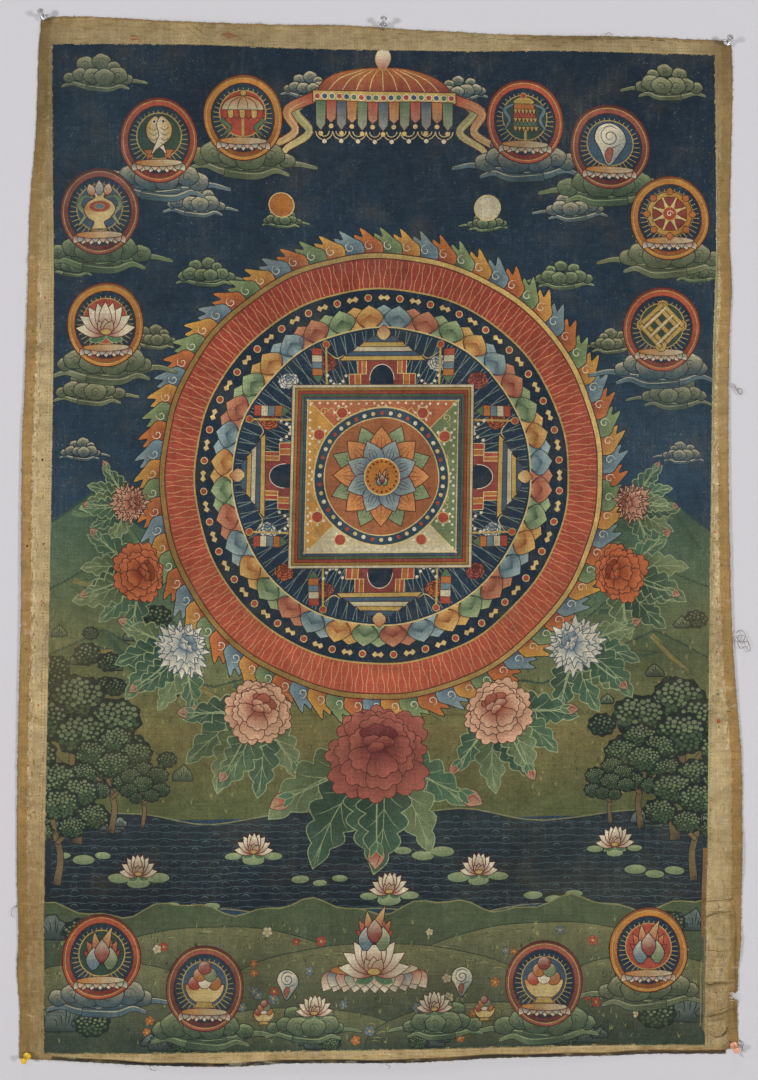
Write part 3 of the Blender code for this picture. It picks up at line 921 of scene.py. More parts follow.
def foreground():
    line = np.linspace(-halfField, halfField, designSet["bandPoints"])
    bank = line - 1j * (940 + 7 * np.cos(line / 23) + 3 * np.sin(line / 9))
    lay(np.concatenate([bank, band(-950, -fieldHeight)[len(line):]]), "#4c5a42", ("#36443a", -935j, -1080j),
        "#7c7f56", 1.4)
    for x, y, wide, tall in ((-180, -1010, 150, 50), (190, -1008, 150, 48), (0, -1046, 180, 66),
            (-300, -1050, 120, 56), (302, -1048, 110, 54), (-96, -1092, 140, 44), (120, -1092, 130, 46)):
        hill = np.clip((x + dome(wide, tall, y, 30)), -400, 400)
        lay(np.concatenate([hill, [x - wide - 1j * fieldHeight, x + wide - 1j * fieldHeight]]), "#6c7050",
            ("#36443a", x + 1j * (y + tall), x + 1j * (y - 30)), "#2a362d", 1.0)
        for k in range(26):
            a = vary(0.1, 3.0)
            spot = x + 0.93 * wide * math.cos(a) + 1j * (y + (tall - 5 - 2 * (k % 4)) * math.sin(a))
            brush(spot + np.array([-5, 1j, 5]), 1.0, pick(("#88895f", "#43533c"), k))
    for k in range(designSet["meadowTufts"]):
        spot = complex(vary(-355, 355), vary(-1088, -958))
        for lean in (-2.4, -0.4, 2.1):
            lay([spot - 0.7, spot + 0.7, spot + lean + 1j * vary(4, 8)],
                choose(("#8a8a5c", "#2b3830", "#6d7a55")))
    for k in range(designSet["meadowFlowers"]):
        pen = at(complex(vary(-350, 350), vary(-1086, -965)), vary(2.2, 3.4), 30 * k)
        for j in range(5):
            pen(disc(cmath.exp(1.2566j * j), 0.72, 1, 7),
                pick(("vermilion", "cream", "orange", "azuritePale"), k), None, "umber", 0.5)
        pen(disc(0, 0.5, 1, 6), "gold", None, None)
    for x, y, size in ((-340, -1062, 22), (-232, -1084, 16), (232, -1084, 17), (344, -1060, 24),
            (-64, -1086, 12), (66, -1086, 12), (-352, -962, 20), (350, -960, 18)):
        for k in range(3):
            crag(complex(x + (k - 1) * size * 0.9, y - 3 * (k % 2)), size * (0.6, 1, 0.5)[k], "#2e3c3b",
                "#6b7c74")
        foliage(complex(x + size * 1.4 * (-1 if x > 0 else 1), y), size * 0.8, 34)


def canopy():
    pen = at(-24j, 78)
    for s in (1, -1):
        for k, colour in enumerate(("malachite", "vermilion")):
            tail = curve([s * (0.9 - 0.1 * k) - 0.3j, s * (1.25 + 0.1 * k) - 0.55j,
                s * (1.05 + 0.2 * k) - 0.85j, s * (1.4 + 0.22 * k) - 1.12j, s * (1.3 + 0.3 * k) - 1.35j], 6)
            pen(ribbon(tail, 0.14, "end"), colour, ("goldPale", s - 0.3j, s * 1.4 - 1.3j), width=0.9)
            pen(tail[3:-3] + 0.03, "goldPale", stroke=0.9)
    pen(dome(0.92, 0.36, -0.3, 28), "crimson", ("orange", -0.3j, 0.1j), width=1.1)
    for x in np.linspace(-0.8, 0.8, 9):
        pen(curve([x - 0.3j, x * 0.75 - 0.1j, x * 0.3 + 0.04j], 3), "goldPale", stroke=1)
    pen(box(-1, 1, -0.43, -0.28), "gold", width=1)
    for k in range(19):
        pen(disc(-0.94 + 0.1045 * k - 0.355j, 0.038, 1, 8), pick(("vermilion", "azurite", "malachite"), k),
            None, "white")
    for k in range(13):
        x, drop = -0.96 + 0.148 * k, pick((0.4, 0.3), k)
        pen(x + 0.07 + np.array([-0.07, 0.07, 0.06 - 0.8j * drop, -1j * drop, -0.06 - 0.8j * drop]) - 0.42j,
            pick(("malachite", "vermilion", "azurite", "orange"), k), ("cream", x - 0.4j, x - 1.3j),
            width=0.8)
        pen(disc(x + 0.07 - 1j * (0.47 + drop), 0.034, 1, 8), "goldPale")
    for k in range(8):
        middle = -0.84 + 0.24 * k
        for deep in (1, 0.6):
            pen(middle - 0.84j + 0.12 * np.exp(1j * np.linspace(np.pi, 2 * np.pi, 8)) * deep, "goldPale",
                stroke=1, ends="none")
        pen(disc(middle - 0.98j, 0.032, 1, 8), "white")
    pen(petal(0.34, 0.1, 90, 0.04j), "vermilion", ("white", 0j, 0.4j), "gold")


mandalaSet = {  # radii in design mm
    "middle": -468j,
    "fire": 264.0,
    "goldEdge": 244.0,
    "glow": 238.0,
    "sceptres": 205.0,
    "petals": 187.0,
    "night": 163.0,
    "palace": 100.0,  # half of its side
    "lotus": 58.0,
}


def ringOf(count, radius, size, turn=0.0, start=0.0):
    # A pen at every place round the mandala, its 1 pointing out
    for k in range(count):
        angle = start + 360 * k / count
        yield k, at(mandalaSet["middle"] + radius * toward(angle), size, angle + turn)


def rays(count, inner, outer, colour, wave):
    for k in range(count):
        t = np.linspace(0, 1, 5)
        way = cmath.exp(2j * math.pi * k / count) * np.exp(wave * 1j * np.sin(t * 6) * (-1) ** k)
        brush(mandalaSet["middle"] + way * (inner + t * (outer - inner)), 0.75, colour, "none")


def gate(pen):
    # One of the palace's four gates: steps out, a roof, banners and a string of beads
    for s in (1, -1):
        pen([s * 0.62 + 0.96j, s * 0.62 + 1.42j], "gold", stroke=2.2, ends="none")
        pen(disc(s * 0.62 + 1.45j, 0.035, 1, 10), "vermilion", None, "gold")
        for k, colour in enumerate(("vermilion", "cream", "azuritePale", "orange")):
            high = 1.4 - 0.075 * k
            pen(box(s * 0.72 - 0.055, s * 0.72 + 0.055, high - 0.075, high), colour)
        pen(s * 0.72 + np.array([-0.055 + 1.1j, 0.055 + 1.1j, 1.02j]), "malachite")
        pen(curve([s * 0.62 + 1.38j, s * 0.5 + 1.3j, s * 0.42 + 1.34j], 4), "goldPale", stroke=1)
        for k in range(7):
            bead = disc(s * (0.4 + 0.035 * k) + 1j * (1.0 + 0.012 * (k - 3) ** 2), 0.018, 1, 6)
            pen(bead, "white", None, None)
    outer = np.array([0.36 + 0.96j, 0.36 + 1.12j, 0.26 + 1.12j, 0.26 + 1.28j])
    for share, colour in ((1, "vermilion"), (0.82, "orange"), (0.64, "crimson")):
        right = outer.real * share + 1j * outer.imag
        pen(np.concatenate([right, -np.conj(right[::-1])]), colour, None, "goldPale", 0.9)
    pen(dome(0.13, 0.16, 1.06), "skyDeep", None, "white")
    pen(box(-0.13, 0.13, 0.96, 1.07), "skyDeep", None, None)
    for k in range(5):
        wide = 0.46 - 0.07 * k
        roof = box(-wide, wide, 1.28 + 0.05 * k, 1.33 + 0.05 * k, -0.05)
        pen(roof, pick(("gold", "azurite", "cream"), k))
    pen(petal(0.16, 0.07, 90, 1.5j), "goldPale", ("vermilion", 1.5j, 1.7j))


def mandala():
    size = mandalaSet
    middle = size["middle"]
    whole = at(middle)
    whole(disc(0, size["fire"] - 5, 1, 200), "#54282a", None, "ink", 1.0)
    tones = [("#7c3a34", "#b8743c"), ("#33506a", "#7d9396"), ("#8d4a2c", "#c29a4e"), ("#33533f", "#87986a")]
    for k, pen in ringOf(76, size["goldEdge"] - 1, size["fire"] - size["goldEdge"] + 8):
        flame = curve([-0.05 - 0.5j, 0.4 - 0.6j, 0.66 - 0.3j, 1.05 + 0.2j, 0.68 + 0.12j, 0.8 + 0.46j,
            0.42 + 0.32j, 0.3 + 0.5j, -0.05 + 0.5j], 3, True)
        pen(flame, tones[k % 4][0], (tones[k % 4][1], 0, 0.95), "ink", 0.9)
        pen(0.34 - 0.1j + 0.22 * curl(1.1, 9), "white", stroke=0.9)
    whole(disc(0, size["goldEdge"]), "#8a7240", ("#bfa767", -90, 200 + 120j), width=1.2)
    whole(disc(0, size["glow"]), "#8c3d31", ("#a4513d", 200j, -240j), width=1.1)
    rays(240, size["sceptres"] + 1, size["glow"] - 1, "#b98d62", 0.006)
    whole(disc(0, size["sceptres"]), "skyDeep", None, "gold", 1.8)
    for k, pen in ringOf(72, (size["petals"] + size["sceptres"]) / 2, 6.4, 90):
        if k % 2:
            pen(disc(0, 0.5, 1, 10), "vermilion", None, "goldPale", 0.9)
        else:
            pen(both(np.array([-1, -0.55 + 0.5j, -0.12 + 0.18j, 0.12 + 0.18j, 0.55 + 0.5j, 1])), "goldPale")
    tones = [("#74322f", "#b98464"), ("#2f4d60", "#93aaa9"), ("#86482a", "#c9a866"), ("#31503c", "#98aa80")]
    for row in (0, 1):
        for k, pen in ringOf(36, size["night"], size["petals"] - size["night"] + 1, 0, row * 5):
            dark, light = tones[(k + row) % 4]
            pen(petal(1, 0.66 - 0.1 * row, 0), dark, (light, 0.1, 1), "ink", 0.8)
            pen(petal(0.6, 0.36, 0), light, (dark, 0, 0.6), None)
    whole(disc(0, size["night"]), "skyDeep", ("sky", 0, size["night"]), "goldPale", 1.6)
    rays(168, 80, size["night"] - 2, "#75847c", 0.02)
    for turn in range(4):
        for spread in (-19, 0, 19):
            way = toward(45 + 90 * turn + spread)
            dyes = pick((crimsonDyes, paleDyes, warmDyes), turn + spread)
            peony(middle + way * (148 - abs(spread) * 0.5), 11, dyes, turn)
    for turn in range(4):
        gate(at(middle, size["palace"], 90 * turn))
    square = np.array([-1 - 1j, 1 - 1j, 1 + 1j, -1 + 1j])
    for k, colour in enumerate(("cream", "#8c6f38", "#8a4034", "#3f5844", "#33495a")):
        whole(square * (size["palace"] - 3.4 * k), colour)
    side = size["palace"] - 17.5
    quarters = [("#8f4637", "#ab6a48"), ("#3f5b47", "#6c7f5b"), ("#8d8868", "#b9b294"),
        ("#93682f", "#b58a48")]
    for turn, (dark, light) in zip((0, -90, 180, 90), quarters):
        pen = at(middle, side, turn)
        pen([0, 1 + 1j, -1 + 1j], dark, (light, 0, 1j), "goldPale", 1)
        for x in (-0.54, 0, 0.54):
            pen(disc(x + 0.84j, 0.07, 1, 16), "vermilion" if x else "azurite", None, "goldPale", 1)
            for j in range(6):
                pen(disc(x + 0.84j + 0.1 * cmath.exp(1.0472j * j), 0.02, 1, 6), "white", None, None)
        for x in (-0.8, -0.27, 0.27):
            pen(x * 0.98 + 0.85j + 0.06 * curl(1.3, 11), "goldPale", stroke=1)
            pen(curve([x + 0.06 + 0.85j, x + 0.12 + 0.9j, x + 0.17 + 0.82j], 4), "goldPale", stroke=0.9)
        for j in range(19):
            pen(disc(-0.95 + j * 0.1055 + 0.965j, 0.018, 1, 7), "white", None, None)
    whole(disc(0, size["lotus"] + 16), "#2f4453", None, "goldPale", 1.6)
    for k, pen in ringOf(44, size["lotus"] + 10.5, 2.3):
        pen(disc(0, 1, 1, 8), pick(("goldPale", "white", "vermilion"), k), None, None)
    whole(disc(0, size["lotus"] + 5), "#763f31", ("#96603f", 0, size["lotus"]), "goldPale", 1.2)
    tones = [("#3c5a49", "#8b9c75"), ("#8c4a31", "#c98f57"), ("#33506a", "#93a5a0")]
    for ring, reach in enumerate((1.0, 0.92, 0.7)):
        for k in range(8):
            pen = at(middle, size["lotus"] * reach, 45 * k + 22.5 * (ring + 1))
            dark, light = tones[ring]
            pen(petal(0.8, 0.22 + 0.03 * ring, 0, 0.2), dark, (light, 0.3, 1), width=1)
            pen([0.4, 0.6, 0.85], "redInk", stroke=1, ends="end")
            for s in (1, -1):
                pen(curve([0.4 + 0.03j * s, 0.6 + 0.1j * s, 0.8 + 0.05j * s], 3), "redInk", stroke=0.7)
    whole(disc(0, 19, 1, 48), "orange", ("amber", 0, 19.0), "goldPale", 1.2)
    for k, pen in ringOf(20, 16.4, 1.3):
        pen(disc(0, 1, 1, 6), "redInk", None, None)
    wishingJewel(at(middle - 3j, 9))


# Four tones of each dye: the heart, the veins, the rim and the drawn edge of a petal
warmDyes = ("#7c3319", "#8c4629", "#b96b44", "redInk")
crimsonDyes = ("#5c2a2a", "#78383a", "#9d5c50", "redInk")
paleDyes = ("#5a7080", "#8b9a94", "#d6d2bb", "azurite")
roseDyes = ("#8a4a3c", "#a0614d", "#c8a588", "redInk")


def garland():
    # A half wreath that holds the mandala from below: leaves first, then flowers and buds
    middle = mandalaSet["middle"]
    blooms = [(84, 24, roseDyes, True), (68, 34, warmDyes, False), (49, 36, paleDyes, True),
        (27, 42, roseDyes, False), (0, 62, crimsonDyes, False)]
    spots = []
    for degrees, radius, dyes, pointed in blooms:
        for sign in (1, -1) if degrees else (1,):
            angle = -90 + sign * degrees
            way = toward(angle)
            place = middle + way * (mandalaSet["fire"] + radius * 0.62)
            spots.append((place, radius, dyes, pointed, angle, way))
    for k, (spot, radius, dyes, pointed, angle, way) in enumerate(spots):
        for j, lean in enumerate((-78, 78, -46, 46, -16, 16)):
            leaf(spot + way * radius * 0.1, radius * vary(1.7, 2.15), angle + lean,
                0.3 if lean < 0 else -0.3, 0.25, 6, k + j)
        for lean in (-62, 0, 62):
            tip = way * toward(lean)
            brush(curve([spot, spot + tip * radius * 1.2, spot + tip * radius * 1.75 + 3j], 4), 1.6, "vein",
                "none")
            bud(spot + tip * radius * 1.7 + 3j, radius * 0.42, angle + lean, pick(("vermilion", "rose"), k))
    for spot, radius, dyes, pointed, angle, way in spots:
        peony(spot, radius, dyes, angle + 90, 0.9, pointed)


# Clouds on the left, which the right has too: across, down, size, tone
skyClouds = [(312, 30, 27, 0), (84, 40, 20, 1), (208, 168, 24, 1), (322, 372, 27, 0), (196, 246, 22, 2),
    (252, 318, 18, 0), (344, 238, 18, 2), (130, 118, 15, 0), (330, 440, 16, 1)]
# Medallions: across, down, the left one's sign and the right one's, and the colour of each ring
signs = [(154, 78, parasol, victoryBanner, 0, 1), (247, 104, twinFish, conchShell, 1, 2),
    (312, 182, treasureVase, spokedWheel, 2, 0), (306, 304, lotusBloom, endlessKnot, 0, 1),
    (300, 990, wishingJewel, wishingJewel, 1, 0), (186, 1026, offeringBowl, offeringBowl, 2, 2)]


def painting():
    skyAndHills()
    lake()
    foreground()
    for k in range(designSet["groveClumps"]):
        spot = complex(choose((-1, 1)) * vary(205, 356), -vary(600, 800))
        if k % 3:
            foliage(spot, vary(7, 15), 22)
        else:
            crag(spot, vary(6, 13), "#37473f", "#7c8867")
    for x, y, height in ((328, -868, 150), (290, -856, 96), (350, -912, 112), (256, -850, 60)):
        for sign in (1, -1):
            tree(complex(sign * x, y), height, sign > 0)
    for sign in (-1, 1):
        for x, y, size, tone in skyClouds:
            cloud(complex(sign * x, -y), size, sign > 0, tone)
        spot = complex(sign * 112, -172)
        cloud(spot - 14j, 15, sign > 0, 2)
        rim, heart = ("white", "cream") if sign > 0 else ("amber", "orange")
        lay(disc(spot, 13, 1, 30), rim, (heart, spot, 14.0), "goldPale", 1.2)
    canopy()
    mandala()
    garland()
    for x, y, left, right, leftRing, rightRing in signs:
        medallion(complex(-x, -y), left, leftRing, "malachiteDeep")
        medallion(complex(x, -y), right, rightRing, "skyDeep", True)
    for sign in (-1, 1):
        cloud(complex(sign * 74, -1062), 30, sign > 0, 2)
        for x, y, size, thing in ((96, -1022, 17, conchShell), (66, -1046, 15, lotusBloom),
                (120, -1052, 13, offeringBowl)):
            thing(at(complex(sign * x, y), size))
    lotusSeat(at(-1010j, 50), ("rose", "azurite", "vermilion", "malachite"), 11, 1.0, 0.42)
    lotusBloom(at(-996j, 30))
    wishingJewel(at(-968j, 26))
    wornEdges()


frameSet = {"pinX": 382.5, "pinY": 30.5, "pixel": 1.1}  # the middle pin in the photograph, and mm


def px(x, y):
    # A spot of the photograph's frame
    return complex((x - frameSet["pinX"]) * frameSet["pixel"], (frameSet["pinY"] - y) * frameSet["pixel"])


def mark(spots, width, colour, steps=6):
    # A brush line on the margins, through spots of the photograph's frame
    brush(curve([px(*s) for s in spots], steps), width, colour, bare=True)


def blot(spot, wide, tall, colour, corners=9, steps=2):
    a = np.linspace(0, 2 * np.pi, corners, endpoint=False)
    rough = np.array([vary(0.55, 1.2) for _ in a])
    shape = spot + rough * (wide * np.cos(a) + 1j * tall * np.sin(a))
    lay(curve(shape, steps, True), colour, bare=True, spread=0.1)


def wornEdges():
    # Chips along the field's edge, down to the ground, most of them at the foot
    border = onPatch(fieldEdges, np.ones(40), np.linspace(0.8, 0.985, 40))
    for first, last, inset, width, colour in (
            (0, 20, 2.6, 5, "#74583a"), (18, 40, 1.2, 3, "#6a6348"), (24, 39, 5, 1.2, "#83764f")):
        brush(border[first:last] - inset, width, colour, "none", bare=True)
    for k in range(designSet["edgeChips"]):
        t, far = rnd.random(), k % 19
        u, v = ((t, 0), (0, t), (1, t), (t, 1))[min(far // 4, 3)]
        spot = edgeSpot(fieldEdges, u, v)
        long, deep = vary(0.7, 3.2), vary(0.25, 0.9) * choose((1, 1, 1.8))
        if far >= 12:
            long, deep = long * 1.5, deep * 1.4
        wide, tall = (long, deep) if v in (0, 1) and u == t else (deep, long)
        blot(spot, wide, tall, pick(("#9a865e", "#83764f", "#6f6a49", "#55543d"), k), 6, 1)


painting()
print("design drawn:", len(layers), "shapes")

# Margins

marginSet = {
    "bareCotton": "#9b7b48",
    "primed": "#b29c72",
    "stripWidth": {"left": 10.0, "right": 10.0, "top": 2.2, "bottom": 2.0},
    "scallop": 9.0,  # mm from wave to wave along the bare strip
    "holePitch": 3.3,  # mm between the stitch holes of the lost mount
    "redInk": "#a8422f",
    "flakes": ("#c0ac82", "#b8a37a", "#c6b28a", "#c2a386"),
    "gaps": ("#97804f", "#9f8859", "#a48f63", "#8c7446"),
    "specks": ("#5d4929", "#6d5632", "#4c3b22"),
    "flakeStep": 0.003,  # of the edge's length
    "streaks": 620,
    "topBlots": 340,
    "handMarks": 60,
    "hairlines": 230,
    "stitchEnds": 220,
    "nailHoles": 240,
}
# Soft stains and worn places: across, up, half width, half height, colour, strength
marginStains = [(0, 6, 420, 12, "#8b7347", 0.5), (0, -12, 430, 16, "#75674a", 0.55),
    (-372, -60, 36, 100, "#5f5030", 0.84), (-374, -165, 26, 90, "#7d663c", 0.55),
    (372, -42, 34, 66, "#6c5a39", 0.75), (378, -150, 20, 130, "#846839", 0.42), (-265, 4, 80, 12, "#7c6841",
    0.38), (225, -2, 42, 7, "#5a4829", 0.32), (368, -130, 12, 44, "#786d4c", 0.42),
    (389, -1078, 9, 46, "#664c27", 0.4), (352, -1117, 34, 3, "#7d6238", 0.45),
    (-372, -240, 14, 50, "#97815a", 0.3), (-170, 0, 34, 9, "#6f5a36", 0.25), (190, -10, 46, 12, "#5f4d2c",
    0.36), (262, -12, 50, 16, "#66553a", 0.34), (80, -14, 70, 12, "#a3916b", 0.35),
    (-90, 4, 60, 5, "#a58f60", 0.3), (382, -300, 8, 90, "#80663a", 0.35), (374, -410, 9, 60, "#b09563",
    0.5), (372, -690, 9, 60, "#8d744a", 0.3), (-386, -980, 36, 130, "#836636", 0.72),
    (-392, -1090, 22, 46, "#6b552f", 0.6), (-370, -1078, 18, 50, "#775f37", 0.4),
    (388, -900, 9, 170, "#866733", 0.5), (374, -985, 30, 46, "#8a7348", 0.4),
    (370, -1076, 30, 46, "#76603a", 0.5), (366, -930, 12, 40, "#aa9263", 0.4), (-150, -1125.5, 240, 2.2,
    "#ab8d52", 0.5), (-330, -1124, 60, 4, "#75603a", 0.5), (190, -1119.5, 180, 2, "#9c7d42", 0.45),]
pictureStains = [(-320, -120, 70, 120, "#2c404c", 0.3), (310, -440, 60, 70, "#3a4d59", 0.3),
    (120, -130, 80, 50, "#1e2b36", 0.3), (-70, -250, 120, 26, "#28373e", 0.2),
    (0, -1060, 260, 40, "#3a3f30", 0.2), (-350, -690, 40, 90, "#6b5f3a", 0.3),
    (345, -640, 40, 60, "#665c3c", 0.25), (-200, -800, 110, 40, "#5d5836", 0.22),
    (230, -940, 90, 30, "#4d4d38", 0.2),]
backStains = [
    (-210, -240, 90, 60, "#6b5a3c", 0.5), (120, -520, 150, 80, "#80704e", 0.5),
    (260, -880, 70, 110, "#5e5036", 0.5), (-150, -930, 130, 60, "#6a5a3e", 0.45),
    (40, -1110, 300, 26, "#5f5034", 0.5), (0, -10, 320, 18, "#7d683f", 0.5),
]


def margins():
    top = np.linspace(0, 1, 330)
    side = np.linspace(0, 1, 470)
    wide = marginSet["stripWidth"]

    def scallop(t, length, depth):
        steps = t * length / marginSet["scallop"]
        return depth * np.abs(np.sin(np.pi * steps)) + 0.5 * np.sin(steps * 2.3)

    left = onPatch(clothEdges, 0 * side, side) + wide["left"] + scallop(side, 1142, 2.4)
    right = onPatch(clothEdges, 1 + 0 * side, side) - wide["right"] - scallop(side, 1110, 2.4)
    upper = onPatch(clothEdges, top, 0 * top) - 1j * (wide["top"] + scallop(top, 760, 0.5))
    lower = onPatch(clothEdges, top, 1 + 0 * top) + 1j * (wide["bottom"] + scallop(top, 790, 0.5))
    inside = [
        upper[(upper.real > left[0].real + 2) & (upper.real < right[0].real - 2)],
        right[(right.imag < upper[-8].imag - 2) & (right.imag > lower[-8].imag + 2)],
        lower[(lower.real > left[-1].real + 2) & (lower.real < right[-1].real - 2)][::-1],
        left[(left.imag < upper[8].imag - 2) & (left.imag > lower[8].imag + 2)][::-1],
    ]
    lay(np.concatenate(inside)[::2], marginSet["primed"], bare=True)


def crackle(x, y, length, width, level, colour):
    # One crooked hairline through the priming, in the photograph's spots
    way = 1 if level else 1j
    line = [px(x, y) + way * length * t + 1j * way * vary(-0.12, 0.12) * length for t in np.linspace(-0.5,
        0.5, 4)]
    brush(curve(line, 3), width, colour, bare=True)


def priming():
    # The chalk ground holds in pale flakes beside the bare strip, with gaps, specks and hairlines
    flakes, gaps, specks = [marginSet[key] for key in ("flakes", "gaps", "specks")]
    for u, first, last, inset in ((0, 0.07, 0.97, 12.5), (1, 0.09, 0.7, -13.5)):
        for t in np.arange(first, last, marginSet["flakeStep"]):
            boundary = edgeSpot(clothEdges, u, t) + inset
            for chance, reach, wide, tall, colours in (
                    (0.8, 3.2, 2.4, 4.2, flakes), (0.5, 6, 1.0, 4.4, gaps), (0.3, 1.5, 0.6, 1.1, specks)):
                if rnd.random() < chance:
                    blot(boundary + (1 - 2 * u) * vary(-0.2, 1) * reach, vary(0.5, 1) * wide,
                         vary(0.4, 1) * tall, choose(colours), 8)
    for k in range(marginSet["streaks"]):  # worn streaks down the primed margins, and paler islands
        left = k % 2
        y = vary(60, 1050) if k % 3 else vary(780, 1050)
        x = vary(30, 48) if left else vary(711, 718.5) if y < 760 else vary(704, 726)
        blot(px(x, y), vary(0.4, 1.5), vary(0.6, 4.5), choose(gaps if k % 4 else flakes), 7)
    for k in range(marginSet["topBlots"]):
        up = k % 3
        x = vary(60, 700)
        y = vary(22, 40) + x * 0.014 if up else vary(1052, 1059) - max(x - 400, 0) * 0.02
        blot(px(x, y), vary(1.5, 8), vary(0.3, 1.2), choose(gaps), 7)
    for k in range(marginSet["handMarks"]):  # dark handling marks along the top edge, right of the middle
        blot(px(rnd.gauss(590, 40), vary(37.5, 41)), vary(2, 8), vary(0.4, 1), choose(specks))
    for k in range(marginSet["hairlines"]):
        low = k % 3
        x = vary(704, 729) if low else vary(30, 46)
        y = vary(880, 1045) if low else vary(80, 1040)
        blot(px(x + vary(-3, 3), y + vary(-8, 8)), 0.6, 0.5, choose(specks), 5)
        crackle(x, y, vary(2, 13), vary(0.25, 0.55), rnd.random() < 0.45, choose(("#7d6740", "#6d5735")))
    # Hard creases beside the field: a brown band of soil and painted shade, a painted highlight on the
    # ridge, and a dark line of painted shade in the fold that wavers
    for spots, width, core in (
            (((704.5, 902), (709, 900.6), (716, 900.3), (726, 899), (733, 897.4)), 1.3, "#4a3921"),
            (((704.5, 916.4), (709, 914.8), (714, 912.8), (719, 912)), 2.0, "#46361f"),
            (((709, 912), (716, 911.2), (725, 911.6), (733, 910.4)), 1.7, "#4f3d24"),
            (((706, 949.6), (713, 949.3), (720, 949.8), (728, 948.8)), 0.8, "#65522f"),
            (((704.5, 981.6), (709, 983.2), (716, 982), (726, 982.4), (734, 981)), 3.6, "#503d23"),
            (((704.5, 982), (709, 983.6), (713, 983)), 1.6, "#33261a"),
            (((708, 1016.4), (714, 1014.6), (721, 1013), (727, 1009.6), (732, 1006.6)), 1.6, "#5b4728"),
            (((712, 1010.4), (719, 1009), (726, 1006.4), (733, 1003.6)), 0.8, "#6a5530"),
            (((711, 1021), (719, 1019.4), (728, 1015.4)), 0.7, "#6a5530"),
            (((729, 1029), (733, 1027.6), (738, 1025)), 1.4, "#46351f"),
            (((707, 1030), (710, 1033.6), (713, 1035.6)), 0.8, "#65522f")):
        line = curve([px(*s) for s in spots], 5)
        line = line + np.array([vary(-0.4, 0.4) for _ in line]) * 1j
        brush(line, width * 1.9, "#8d774c", bare=True)
        brush(line + 0.7j * width, width * 0.5, "#b7a273", bare=True)
        brush(line - 0.1j * width, 0.6 + width * 0.3, core, bare=True)
    # Marks on the right margin. The near-black stroke at the foot is painted shadow under the bottom edge.
    for spots, width, colour in ((((733, 905), (736, 925), (734, 950), (736, 985), (734, 1008),
            (738, 1038)), 4.5, "#7d6439"), (((733, 905), (735, 925), (734, 950), (735, 985)), 1.7,
            "#5a4628"), (((735, 984), (733, 1000), (736, 1018)), 1.6, "#5a4628"),
            (((733, 893), (731, 899), (725, 901)), 1.5, "#46351f"),
            (((712.5, 1035.6), (716, 1036.8), (720.5, 1036)), 1.3, "#3a2c1a"),
            (((719, 1036.2), (723, 1034.4), (725.6, 1031), (726.8, 1026.6)), 1.9, "#2a1f12"),
            (((717, 902), (718, 907), (717, 912)), 1.6, "#8a7449"),
            (((714, 1054.2), (719, 1053.9), (724, 1053.2)), 2.6, "#17120a")):
        mark(spots, width, colour)
    edge = onPatch(fieldEdges, 1 + np.zeros(60), np.linspace(0.13, 0.8, 60)) + 1.6
    brush(edge[:26], 2.0, "#7f8760", bare=True)
    brush(edge[30:], 1.2, "#8a8c62", bare=True)


def stitchHoles():
    # Painted shadow along the bottom edge, then fine rows just outside the field, left by the stitches of a
    # mount
    t = np.linspace(0.045, 0.984, 300)
    footShadeLine = onPatch(clothEdges, t, 1 + 0 * t) + 1j * (0.4 * np.sin(60 * t) + 0.3 * np.sin(23 * t))
    # A brown stroke, then a near-black band: painted shadow under the bottom edge, which stands off the
    # wall
    for rise, width, colour in ((3.2, 3.0, "#8a7145"), (1.5, 4.6, "#120f09")):
        brush(footShadeLine + 1j * rise, width, colour, "none", bare=True)
    for edge, length, turn in (("top", fieldWidth, -1j), ("bottom", fieldWidth, 1j),
            ("left", fieldHeight, 1), ("right", fieldHeight, -1)):
        t = np.linspace(0.004, 0.996, int(length / marginSet["holePitch"]))
        u, v = {"top": (t, 0 * t), "bottom": (t, 1 + 0 * t), "left": (0 * t, t),
            "right": (1 + 0 * t, t)}[edge]
        for away in (3.0, 6.2) if edge in ("top", "left") else (3.0,):
            for spot in onPatch(fieldEdges, u, v) - turn * away:
                size = vary(0.35, 0.7)
                lay(disc(spot + complex(vary(-0.4, 0.4), vary(-0.4, 0.4)), size, 1, 5),
                    choose(("#5b4a2e", "#6f5b38", "#463922")), bare=True)
    ends = marginSet["stitchEnds"]
    for k in range(ends):  # dark ends of thread along the field's top edge
        spot = edgeSpot(fieldEdges, (k + 0.5) / ends, 0) + 1j * vary(-0.2, 0.6)
        if rnd.random() < 0.65:
            brush(spot + np.array([-1.0, 0, vary(0.4, 1.1)]), 0.8, "#34302a", bare=True)
    for k in range(marginSet["nailHoles"]):  # larger nail and needle holes near the cut edge
        u, v = pick(((0.012, rnd.random()), (0.988, rnd.random()), (rnd.random(), 0.004)), k)
        spot = edgeSpot(clothEdges, u, v)
        lay(disc(spot + complex(vary(-3, 3), vary(-2, 2)), vary(0.5, 0.9), 1, 6), "#3c2f1c", bare=True)


